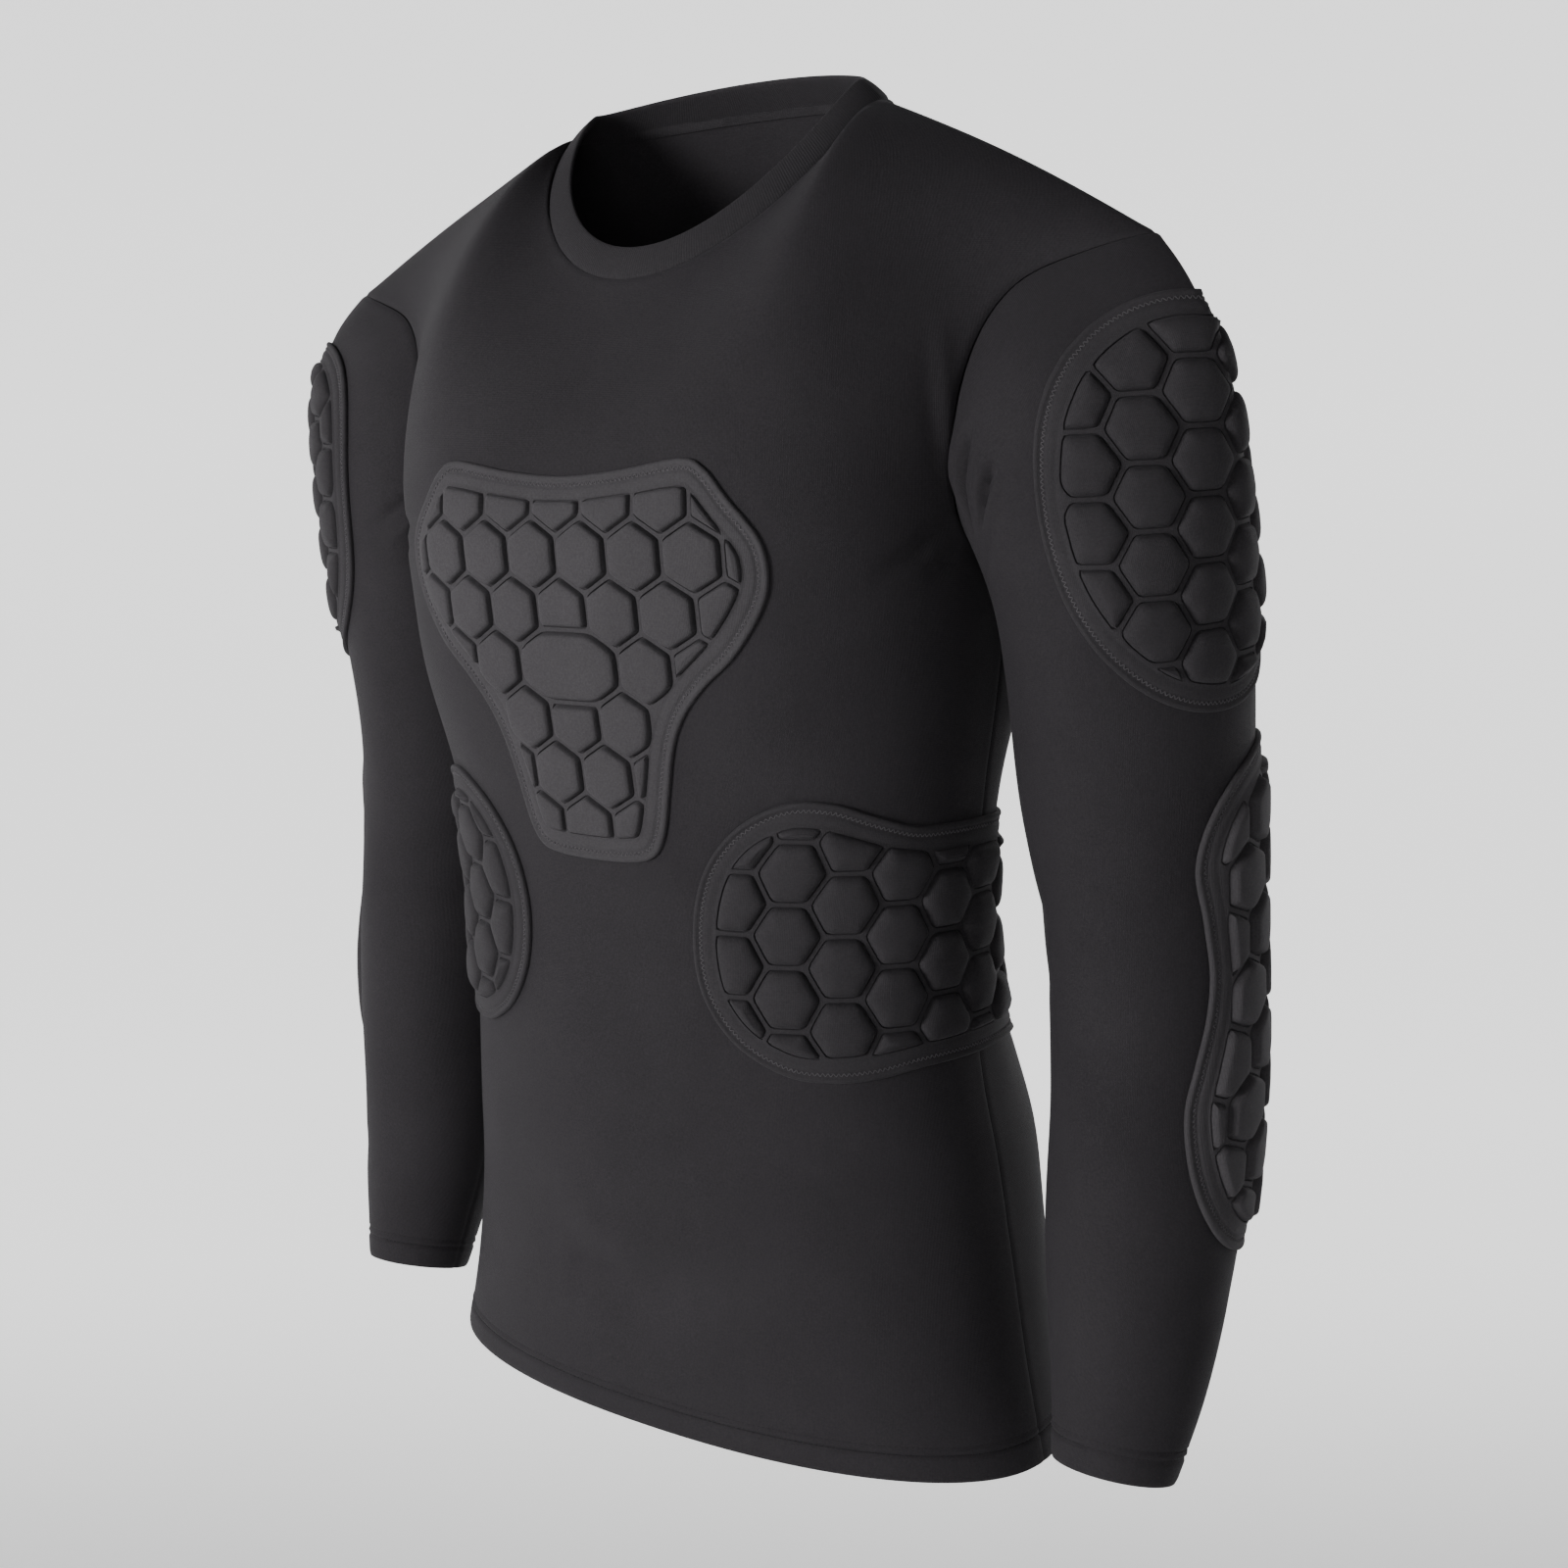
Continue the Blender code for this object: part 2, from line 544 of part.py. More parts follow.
def chest_cells(field):
    """The chest's cells. The two in the middle of one row are joined into a long one."""
    wide, r = math.sqrt(3) * field.radius, field.radius
    middle = np.array([field.x, field.y])
    for i, j, (x, y) in lattice(field):
        x += 0.5 * wide if i % 2 == 0 else -0.5 * wide
        cell = six_sided(field, (x, y))
        if i == 0 and abs(x) < wide:
            continue
        if abs(i) == 1 and abs(x) < 0.1 * wide:
            cell = half_plane(cell, middle + np.array([0, i * r]), np.array([0.0, -i]))
        yield cell
    yield middle + np.array([(wide, -r / 2), (wide, r / 2), (wide / 2, r), (-wide / 2, r),
                             (-wide, r / 2), (-wide, -r / 2), (-wide / 2, -r), (wide / 2, -r)])


def plain_cells(field):
    for _, _, centre in lattice(field):
        yield six_sided(field, centre)


def flat_cells(cells, outline):
    """The cells that fit inside a pad's seam, cut off along it."""
    inner = moved_in(smooth_loop(outline, 0.002), FLANGE_WIDTH)
    made = []
    for cell in cells:
        shape = clipped(inner, cell, GROOVE / 2)
        if len(shape) > 2 and area_of(shape) > SMALLEST_CELL:
            made.append(simplified(shape, 0.0020, 0.0005))
    return made


def lay(sheet, flat, height):
    """Points of a flattened sheet, put back on the cloth's own triangles and moved out."""
    rows, columns = sheet.points.shape[:2]
    index = np.arange(rows * columns).reshape(rows, columns)
    triangles = np.array(grid_triangles(index, sheet.turned))
    plane = sheet.plane.reshape(-1, 2)[triangles]
    a, b, c = plane[:, 0], plane[:, 1], plane[:, 2]
    whole = (b - a)[:, 0] * (c - a)[:, 1] - (b - a)[:, 1] * (c - a)[:, 0]
    shape = flat[:, None, :]
    second = ((shape - a)[..., 0] * (c - a)[:, 1] - (shape - a)[..., 1] * (c - a)[:, 0]) / whole
    third = ((b - a)[:, 0] * (shape - a)[..., 1] - (b - a)[:, 1] * (shape - a)[..., 0]) / whole
    weights = np.stack([1 - second - third, second, third], -1)
    best = np.argmax(weights.min(-1), 1)
    weights = weights[np.arange(len(flat)), best][..., None]
    corners = triangles[best]
    points = (sheet.points.reshape(-1, 3)[corners] * weights).sum(1)
    normals = unit((sheet.normals.reshape(-1, 3)[corners] * weights).sum(1))
    return points + normals * (np.zeros(len(flat)) + height)[:, None]


def grid_lines(sheet, outline):
    """The part of a sheet's grid near an outline, as flat points and pairs of them."""
    rows, columns = sheet.points.shape[:2]
    index = np.arange(rows * columns).reshape(rows, columns)
    plane = sheet.plane.reshape(-1, 2)
    low, high = outline.min(0) - 0.001, outline.max(0) + 0.001
    pairs = set()
    for triangle in grid_triangles(index, sheet.turned):
        corners = plane[list(triangle)]
        if (corners.max(0) > low).all() and (corners.min(0) < high).all():
            for i in range(3):
                pairs.add(tuple(sorted((triangle[i], triangle[(i + 1) % 3]))))
    used = sorted({i for pair in pairs for i in pair})
    place = {old: new for new, old in enumerate(used)}
    return plane[used], [(place[a], place[b]) for a, b in sorted(pairs)]


def filled(points, pairs, shapes):
    """Triangles over all the points, each with the numbers of the closed shapes it lies in."""
    flat, _, faces, _, _, owners = delaunay_2d_cdt(
        [tuple(p) for p in points], pairs, shapes, 0, 1e-7, True)
    return np.array([tuple(p) for p in flat]), faces, owners


def border_of(faces):
    """The closed border of a patch of triangles, in the order of its faces."""
    after = {}
    for face in faces:
        for a, b in zip(face, face[1:] + face[:1]):
            after[a] = after.get(a, []) + [b]
    pairs = {(a, b) for a, ends in after.items() for b in ends}
    onward = {a: b for a, b in pairs if (b, a) not in pairs}
    start = min(onward)
    loop = [start]
    while onward[loop[-1]] != start:
        loop.append(onward[loop[-1]])
    return loop


def pad_mesh(sheet, outline, cells):
    """A pad: a plain inner side on the cloth, a thin edge, and cells that stand out of it."""
    loop = smooth_loop(outline, OUTLINE_STEP)
    lines, pairs = grid_lines(sheet, loop)
    start = len(lines)
    shape = list(range(start, start + len(loop)))
    flat, faces, owners = filled(np.concatenate([lines, loop]), pairs, [shape])
    inside = [list(f) for f, o in zip(faces, owners) if o]
    border = border_of(inside)
    used = sorted({i for f in inside for i in f})
    place = {old: new for new, old in enumerate(used)}
    points = [lay(sheet, flat[used], PAD_GAP)]
    mesh = [tuple(place[i] for i in reversed(f)) for f in inside]

    edge = flat[border]
    shapes, flat_points, count = [list(range(len(edge)))], [edge], len(edge)
    for cell in cells:
        shapes.append(list(range(count, count + len(cell))))
        flat_points.append(cell)
        count += len(cell)
    top, faces, owners = filled(np.concatenate(flat_points), [], shapes)
    shift = len(used)
    points.append(lay(sheet, top, PAD_GAP + FLANGE_THICKNESS))
    mesh += [tuple(i + shift for i in f) for f, o in zip(faces, owners) if list(o) == [0]]
    for i in range(len(edge)):
        a, b = i, (i + 1) % len(edge)
        mesh.append((place[border[a]], place[border[b]], b + shift, a + shift))

    shift += len(top)
    for cell, shape in zip(cells, shapes[1:]):
        middle = cell.mean(0)
        reach = np.linalg.norm(cell - middle, axis=1).min()
        share = max(0.45, 1 - CELL_BEVEL / reach)
        tall = min(1.0, 0.45 + 0.55 * reach / 0.012)
        ring = middle + (cell - middle) * share
        points.append(lay(sheet, ring, PAD_GAP + CELL_SHOULDER * tall))
        points.append(lay(sheet, middle[None], PAD_GAP + CELL_CROWN * tall))
        n = len(cell)
        for i in range(n):
            a, b = shape[i] + len(used), shape[(i + 1) % n] + len(used)
            mesh.append((a, b, shift + (i + 1) % n, shift + i))
            mesh.append((shift + i, shift + (i + 1) % n, shift + n))
        shift += n + 1
    return np.concatenate(points), mesh


def join_armhole(front, back, sleeve):
    """Gives both sides of the armhole seam the same normals, so that their walls only meet."""
    half = ARMHOLE_ROWS
    for sheet, place in ((front, np.arange(half + 1)), (back, 2 * half - np.arange(half + 1))):
        shared = unit(sheet.normals[BODY_ROWS:, -1] + sleeve.normals[0, place])
        sheet.normals[BODY_ROWS:, -1] = shared
        sheet.normals[BODY_ROWS:, 0] = shared * np.array([-1, 1, 1])
        sleeve.normals[0, place] = shared


def main():
    for old in list(bpy.data.objects):
        bpy.data.objects.remove(old)
    cloth, padding, rib = ((0.035, 0.034, 0.037), 0.8), ((0.040, 0.039, 0.042), 0.75), (
        (0.046, 0.045, 0.048), 0.85)
    front, back, sleeve = panel_sheet(FRONT), panel_sheet(BACK), sleeve_sheet()
    side = side_sheet(front, back)
    join_armhole(front, back, sleeve)
    band = neckband(front, back)
    for name, sheet in (("front", front), ("back", back)):
        outer = pulled_in(sheet.points, [(-1, -2)], [(0, 1), (-1, -2)], SEAM_GAP / 2)
        points, faces = wall_mesh(outer, sheet.normals, sheet.turned, False, WALL)
        if name == "back":
            faces = [tuple(reversed(f)) for f in faces]
        add_object(name, points, faces, *cloth)
    outer = pulled_in(sleeve.points, [(0, 1)], [], SEAM_GAP)
    points, faces = wall_mesh(outer[:, :-1], sleeve.normals[:, :-1], sleeve.turned, True, WALL)
    faces = [tuple(reversed(f)) for f in faces]
    add_object("sleeve_left", points, faces, *cloth)
    add_object("sleeve_right", *mirrored(points, faces), *cloth)
    add_object("neckband", *band, *rib)

    outline = mirrored_outline(CHEST_EDGE, CHEST_FIELD.x)
    cells = flat_cells(chest_cells(CHEST_FIELD), outline)
    add_object("chest_pad", *pad_mesh(front, outline, cells), *padding)
    pads = (
        ("rib_pad", side, mirrored_outline(RIB_EDGE, RIB_FIELD.x), RIB_FIELD),
        ("shoulder_pad", sleeve, oval_outline(), SHOULDER_FIELD),
        ("elbow_pad", sleeve, mirrored_outline(ELBOW_EDGE, ELBOW_FIELD.x), ELBOW_FIELD),
    )
    for name, sheet, outline, field in pads:
        points, faces = pad_mesh(sheet, outline, flat_cells(plain_cells(field), outline))
        add_object(name + "_left", points, faces, *padding)
        add_object(name + "_right", *mirrored(points, faces), *padding)


if __name__ == "__main__":
    main()
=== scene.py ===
"""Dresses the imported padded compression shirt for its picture.

The front, the back, the sleeves and the neckband become thin shells of stretch cloth with creases,
turned hems and sewn seams. The pads become raised foam cells under a tight cover with a sewn edge.
Metres, +Z up, the front faces -Y and +X is the wearer's left.
"""

import logging
import math
from dataclasses import dataclass, field
from enum import Enum
from typing import Callable, Iterator, Sequence

import bpy
import numpy as np
from mathutils import Matrix, Vector
from mathutils.geometry import delaunay_2d_cdt


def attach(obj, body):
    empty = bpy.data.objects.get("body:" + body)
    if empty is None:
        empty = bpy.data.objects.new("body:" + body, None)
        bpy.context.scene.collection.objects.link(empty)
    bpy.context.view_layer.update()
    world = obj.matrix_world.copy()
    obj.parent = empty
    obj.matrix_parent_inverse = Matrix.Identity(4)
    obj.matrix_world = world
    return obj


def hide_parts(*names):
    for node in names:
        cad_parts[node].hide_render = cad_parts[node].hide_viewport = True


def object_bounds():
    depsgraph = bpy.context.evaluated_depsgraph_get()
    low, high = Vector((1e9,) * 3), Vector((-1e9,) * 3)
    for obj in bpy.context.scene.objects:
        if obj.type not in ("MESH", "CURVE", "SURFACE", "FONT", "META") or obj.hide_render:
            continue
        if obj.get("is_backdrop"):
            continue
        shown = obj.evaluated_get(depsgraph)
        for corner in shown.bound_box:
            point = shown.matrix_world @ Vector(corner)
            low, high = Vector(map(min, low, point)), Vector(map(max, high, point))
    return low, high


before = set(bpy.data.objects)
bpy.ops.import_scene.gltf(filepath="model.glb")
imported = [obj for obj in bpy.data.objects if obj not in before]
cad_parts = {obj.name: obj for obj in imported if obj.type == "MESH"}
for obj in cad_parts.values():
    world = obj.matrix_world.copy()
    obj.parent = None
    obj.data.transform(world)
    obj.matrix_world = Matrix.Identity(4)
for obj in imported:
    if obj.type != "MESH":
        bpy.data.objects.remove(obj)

log = logging.getLogger("padded_shirt")

Array = np.ndarray
Surface = Callable[[Array, Array], Array]
MM = 0.001


class Side(Enum):
    """Which half of the shirt a paired piece lies on."""

    LEFT = 1.0
    RIGHT = -1.0

    @property
    def suffix(self) -> str:
        """The end of the piece's name."""
        return "_left" if self is Side.LEFT else "_right"


class Facing(Enum):
    """The two torso panels. The value is the sign of their Y direction."""

    FRONT = -1.0
    BACK = 1.0


class Slot(Enum):
    """The record's material slots."""

    JERSEY = "jersey"
    PADDING = "padding"
    RIB = "rib"


# Curves and small vector helpers


def unit(vectors: Array) -> Array:
    """Scales vectors to length one.

    Args:
        vectors: any array whose last axis is a vector.

    Returns:
        The unit vectors.
    """
    return vectors / np.linalg.norm(vectors, axis=-1, keepdims=True)


def smooth_read(keys: Sequence[float], values: Sequence[float], at: Array) -> Array:
    """Reads a cubic curve through table points, with slopes from the neighbours.

    Args:
        keys: rising positions of the points.
        values: the points' values.
        at: where the curve is read.

    Returns:
        The curve's values there.
    """
    xs, ys, at = np.asarray(keys, float), np.asarray(values, float), np.asarray(at, float)
    slopes = np.gradient(ys, xs)
    i = np.clip(np.searchsorted(xs, at) - 1, 0, len(xs) - 2)
    step = xs[i + 1] - xs[i]
    t = (at - xs[i]) / step
    return (
        ys[i] * (2 * t**3 - 3 * t**2 + 1)
        + slopes[i] * step * (t**3 - 2 * t**2 + t)
        + ys[i + 1] * (3 * t**2 - 2 * t**3)
        + slopes[i + 1] * step * (t**3 - t**2)
    )


def bezier(start: Array, start_arm: Array, end: Array, end_arm: Array, t: Array) -> Array:
    """Evaluates cubic curves between two sets of points, with a handle at each end.

    Args:
        start: first points.
        start_arm: vectors from the first points to their handles.
        end: last points.
        end_arm: vectors from the last points to their handles.
        t: how far along each curve, from 0 to 1.

    Returns:
        The points on the curves.
    """
    t = t[..., None]
    return (
        start * (1 - t) ** 3
        + 3 * (start + start_arm) * t * (1 - t) ** 2
        + 3 * (end + end_arm) * t**2 * (1 - t)
        + end * t**3
    )


def bump(distance: Array, width: float) -> Array:
    """A soft bump that is 1 at no distance and fades out over a width."""
    return np.exp(-((distance / width) ** 2))


def ramp(values: Array, low: float, high: float) -> Array:
    """A smooth step from 0 at low to 1 at high."""
    t = np.clip((values - low) / (high - low), 0, 1)
    return t * t * (3 - 2 * t)


# The shirt's form, with the same driving sizes as its solids


@dataclass(frozen=True)
class Level:
    """The torso's section at one height."""

    z: float
    half_width: float
    seam_y: float
    front: float
    back: float
    square: float


@dataclass(frozen=True)
class Station:
    """The sleeve's section at one place down the arm."""

    x: float
    y: float
    z: float
    across: float
    deep: float


@dataclass(frozen=True)
class TorsoForm:
    """The filled-out front and back below and above the underarm."""

    levels: tuple[Level, ...] = (
        Level(-0.697, 0.196, 0.016, 0.089, 0.116, 2.2),
        Level(-0.646, 0.184, 0.018, 0.096, 0.126, 2.2),
        Level(-0.586, 0.174, 0.017, 0.101, 0.138, 2.2),
        Level(-0.536, 0.168, 0.012, 0.103, 0.142, 2.2),
        Level(-0.496, 0.162, 0.007, 0.104, 0.128, 2.2),
        Level(-0.456, 0.158, 0.004, 0.105, 0.100, 2.2),
        Level(-0.406, 0.158, 0.003, 0.107, 0.070, 2.2),
        Level(-0.346, 0.162, 0.003, 0.115, 0.071, 2.4),
        Level(-0.286, 0.169, 0.004, 0.127, 0.084, 2.8),
        Level(-0.228, 0.172, 0.006, 0.138, 0.091, 2.9),
    )
    neck_half_width: float = 0.100
    neck_share: float = 0.5
    front_neck: tuple[float, float] = (-0.080, 0.088)
    back_neck: tuple[float, float] = (0.047, -0.0125)
    shoulder_point: tuple[float, float, float] = (0.257, -0.014, -0.077)
    shoulder_curve: float = 0.004
    corner_ease: float = 0.20
    front_armhole: float = 0.215
    back_armhole: float = 0.170
    chest_pull: float = 0.40
    shoulder_pull: float = 0.28

    @property
    def hem_z(self) -> float:
        """Height of the hem."""
        return self.levels[0].z

    @property
    def underarm_z(self) -> float:
        """Height of the underarm."""
        return self.levels[-1].z

    def column(self, name: str, z: Array) -> Array:
        """One column of the level table, read smoothly at any height."""
        return smooth_read([row.z for row in self.levels], [getattr(row, name) for row in self.levels], z)

    def section(self, z: Array, share: Array, facing: Facing) -> Array:
        """Points on the torso below the armholes.

        Args:
            z: heights.
            share: -1 at the right side seam to 1 at the left one, by length along the cloth.
            facing: front or back.

        Returns:
            The points.
        """
        half_width, seam_y = self.column("half_width", z), self.column("seam_y", z)
        depth = self.column("front" if facing is Facing.FRONT else "back", z)
        power = 2 / self.column("square", z)
        angles = np.linspace(0, math.pi / 2, 61)
        across = half_width[..., None] * np.sin(angles) ** power[..., None]
        along = depth[..., None] * np.cos(angles).clip(0) ** power[..., None]
        steps = np.hypot(np.diff(across), np.diff(along))
        length = np.concatenate([np.zeros(steps.shape[:-1] + (1,)), np.cumsum(steps, -1)], -1)
        target = np.abs(share)[..., None] * length[..., -1:]
        i = np.clip((length <= target).sum(-1, keepdims=True) - 1, 0, 59)
        start, end = np.take_along_axis(length, i, -1), np.take_along_axis(length, i + 1, -1)
        t = (target - start) / (end - start)
        x, y = (np.take_along_axis(values, i, -1) * (1 - t) + np.take_along_axis(values, i + 1, -1) * t
                for values in (across, along))
        sideways, forward = np.sign(share) * x[..., 0], facing.value * y[..., 0]
        return np.stack([sideways, seam_y + forward, z + 0 * sideways], -1)

    def top_edge(self, share: Array, facing: Facing) -> tuple[Array, Array]:
        """Points on the neckline or the shoulder seam.

        Args:
            share: -1 to 1, the neckline lies within neck_share of the middle.
            facing: front or back.

        Returns:
            The points, and the directions in which the cloth leaves them downwards.
        """
        depth, drop = self.front_neck if facing is Facing.FRONT else self.back_neck
        side = np.sign(share)
        turn = np.clip(np.abs(share) / self.neck_share, 0, 1) * math.pi / 2
        neck = np.stack([side * self.neck_half_width * np.sin(turn),
                         depth * np.cos(turn),
                         -drop * np.cos(turn) ** 1.3], -1)
        along = np.clip((np.abs(share) - self.neck_share) / (1 - self.neck_share), 0, 1)
        x, y, z = self.shoulder_point
        seam = np.stack([side * (self.neck_half_width + (x - self.neck_half_width) * along),
                         y * along,
                         z * along + self.shoulder_curve * np.sin(math.pi * along)], -1)
        point = np.where((np.abs(share) < self.neck_share)[..., None], neck, seam)
        lean = np.clip(np.abs(share) / self.neck_share, 0, 1) ** 1.5 * 0.8 - 0.35 * along
        ridge = np.stack([0 * lean, -facing.value * (0.45 + 0.55 * lean), 0.9 - 0.86 * lean], -1)
        return point, -unit(ridge)

    def eased_edge(self, share: Array, rise: Array, facing: Facing) -> tuple[Array, Array]:
        """The top edge with its corner at the neck rounded off, more so further down the cloth.

        Args:
            share: -1 to 1 along the edge.
            rise: how far up the cloth, 1 at the edge itself.
            facing: front or back.

        Returns:
            The points, and the directions downwards.
        """
        size = np.abs(share)
        fade = np.clip((1 - size) / 0.3, 0, 1)
        spread = self.corner_ease * (1 - rise) * bump(size - self.neck_share, 0.25) * fade
        point, handle = np.zeros(share.shape + (3,)), np.zeros(share.shape + (3,))
        for offset in np.linspace(-1, 1, 9):
            tap, tap_handle = self.top_edge(share + offset * spread, facing)
            weight = (1.1 - abs(offset)) / 4.9
            point += tap * weight
            handle += tap_handle * weight
        return point, unit(handle)

    def armhole_share(self, row: Array, facing: Facing) -> Array:
        """How far the panel reaches sideways above the underarm, 0, up to the shoulder point, 1.

        Args:
            row: 0 at the underarm to 1 at the shoulder point.
            facing: front or back.

        Returns:
            Shares of the half width.
        """
        deepest = self.front_armhole if facing is Facing.FRONT else self.back_armhole
        rows = (0.0, 0.1, 0.3, 0.55, 0.75, 0.87, 1.0)
        cut = (0.0, 0.36, 0.86, 1.0, 0.72, 0.34, 0.0)
        return 1 - deepest * smooth_read(rows, cut, row)

    def surface(self, share: Array, row: Array, facing: Facing) -> Array:
        """Points on a panel.

        Args:
            share: -1 at the right edge to 1 at the left edge.
            row: 0 at the hem, 1 at the underarm, 2 at the neckline and shoulder seam.
            facing: front or back.

        Returns:
            The points.
        """
        share, row = np.broadcast_arrays(np.asarray(share, float), np.asarray(row, float))
        z = self.hem_z + (self.underarm_z - self.hem_z) * np.clip(row, 0, 1)
        low = self.section(z, share, facing)
        upper = np.clip(row - 1, 0, 1) ** 0.8
        reach = share * self.armhole_share(upper, facing)
        rise = 1 - np.cos(upper * math.pi / 2)
        start = self.section(0 * reach + self.underarm_z, reach, facing)
        below = self.section(0 * reach + self.underarm_z - 0.01, reach, facing)
        end, end_handle = self.eased_edge(reach, rise, facing)
        span = np.linalg.norm(end - start, axis=-1, keepdims=True)
        high = bezier(start, unit(start - below) * span * self.chest_pull,
                      end, end_handle * span * self.shoulder_pull, rise)
        return np.where((row > 1)[..., None], high, low)

    def side(self, turn: Array, row: Array) -> Array:
        """Points on the left half below the underarm, from the middle of the front to the back's.

        Args:
            turn: 0 at the middle of the front, 1 at the side seam, 2 at the middle of the back.
            row: 0 at the hem to 1 at the underarm.

        Returns:
            The points.
        """
        turn, row = np.broadcast_arrays(np.asarray(turn, float), np.asarray(row, float))
        front = self.surface(np.clip(turn, 0, 1), row, Facing.FRONT)
        back = self.surface(np.clip(2 - turn, 0, 1), row, Facing.BACK)
        return np.where((turn <= 1)[..., None], front, back)


@dataclass(frozen=True)
class ArmForm:
    """The left sleeve, from the armhole down to the cuff."""

    torso: TorsoForm
    stations: tuple[Station, ...] = (
        Station(0.2270, 0.006, -0.206, 0.0620, 0.0690),
        Station(0.2300, 0.021, -0.268, 0.0600, 0.0657),
        Station(0.2320, 0.030, -0.336, 0.0575, 0.0617),
        Station(0.2410, 0.030, -0.406, 0.0510, 0.0560),
        Station(0.2462, 0.0275, -0.486, 0.0492, 0.0550),
        Station(0.2446, 0.0225, -0.566, 0.0476, 0.0504),
        Station(0.2460, 0.0085, -0.636, 0.0393, 0.0385),
        Station(0.2448, -0.003, -0.679, 0.0313, 0.0300),
    )
    inner_limit: float = 0.1775
    inner_round: float = 0.005
    shoulder_dip: float = 42.0
    underarm_dip: float = 56.0
    cap_pull: float = 0.40
    biceps_pull: float = 0.46

    @property
    def biceps_z(self) -> float:
        """Height where the sleeve cap ends."""
        return self.stations[1].z

    @property
    def cuff_z(self) -> float:
        """Height of the cuff."""
        return self.stations[-1].z

    def column(self, name: str, z: Array) -> Array:
        """One column of the station table, read smoothly at any height."""
        rows = sorted(self.stations, key=lambda row: row.z)
        return smooth_read([row.z for row in rows], [getattr(row, name) for row in rows], z)

    def centre(self, z: Array) -> Array:
        """The arm's middle line."""
        return np.stack([self.column("x", z), self.column("y", z), z], -1)

    def ring(self, z: Array, angle: Array) -> tuple[Array, Array]:
        """Points round the arm.

        Args:
            z: heights of the ring's middle.
            angle: 0 on the outer side, a quarter turn in front.

        Returns:
            The points, and the arm's direction there.
        """
        axis = unit(self.centre(z - 0.001) - self.centre(z + 0.001))
        ahead = unit(np.cross(axis, np.broadcast_to([1.0, 0.0, 0.0], axis.shape)))
        outward = np.cross(ahead, axis)
        across, deep = self.column("across", z)[..., None], self.column("deep", z)[..., None]
        c, s = np.cos(angle)[..., None], np.sin(angle)[..., None]
        point = self.centre(z) + outward * across * c + ahead * deep * s
        past = point[..., 0] - self.inner_limit
        point[..., 0] = self.inner_limit + 0.5 * (past + np.sqrt(past**2 + self.inner_round**2))
        return point, axis

    def surface(self, turn: Array, row: Array) -> Array:
        """Points on the left sleeve.

        Args:
            turn: 0 at the underarm, through the front, 0.5 at the shoulder point, 1 at the underarm.
            row: 0 on the armhole, 1 at the biceps, 2 at the cuff.

        Returns:
            The points.
        """
        turn, row = np.broadcast_arrays(np.asarray(turn, float), np.asarray(row, float))
        angle = math.pi * (1 - 2 * turn)
        front = self.torso.surface(1.0, 1 + np.clip(2 * turn, 0, 1), Facing.FRONT)
        back = self.torso.surface(1.0, 1 + np.clip(2 - 2 * turn, 0, 1), Facing.BACK)
        start = np.where((turn <= 0.5)[..., None], front, back)
        end, axis = self.ring(0 * turn + self.biceps_z, angle)
        low_side = (1 - np.cos(angle)) / 2
        dip = np.radians(self.shoulder_dip + (self.underarm_dip - self.shoulder_dip) * low_side)
        forward = 0.30 * (1 - low_side) + 0.45 * np.sin(angle)
        leave = np.stack([np.cos(dip), -forward, -np.sin(dip)], -1)
        span = np.linalg.norm(end - start, axis=-1, keepdims=True)
        cap = bezier(start, unit(leave) * span * self.cap_pull,
                     end, -axis * span * self.biceps_pull, np.clip(row, 0, 1))
        z = self.biceps_z + (self.cuff_z - self.biceps_z) * np.clip(row - 1, 0, 1)
        arm, _ = self.ring(z, angle)
        return np.where((row > 1)[..., None], arm, cap)


# Sheets of cloth, with flattened coordinates and creases


@dataclass(frozen=True)
class Crease:
    """A soft trough or ridge along a line on the flattened cloth.

    height is negative for a trough. The crease fades out towards both ends.
    """

    line: tuple[tuple[float, float], ...]
    width: float
    height: float

    def relief(self, flat: Array) -> Array:
        """How far the cloth stands out because of this crease.

        Args:
            flat: flattened points, (n, 2).

        Returns:
            One height for each point.
        """
        line = np.array(self.line)
        lengths = np.linalg.norm(np.diff(line, axis=0), axis=1)
        before = np.concatenate([[0], np.cumsum(lengths)])
        nearest = np.full(len(flat), np.inf)
        along = np.zeros(len(flat))
        for i, length in enumerate(lengths):
            ahead = (line[i + 1] - line[i]) / length
            t = np.clip((flat - line[i]) @ ahead, 0, length)
            distance = np.linalg.norm(flat - line[i] - t[:, None] * ahead, axis=1)
            closer = distance < nearest
            nearest[closer] = distance[closer]
            along[closer] = (before[i] + t[closer]) / before[-1]
        fade = np.sin(math.pi * np.clip(0.06 + 0.88 * along, 0, 1)) ** 0.8
        return self.height * bump(nearest, self.width) * fade


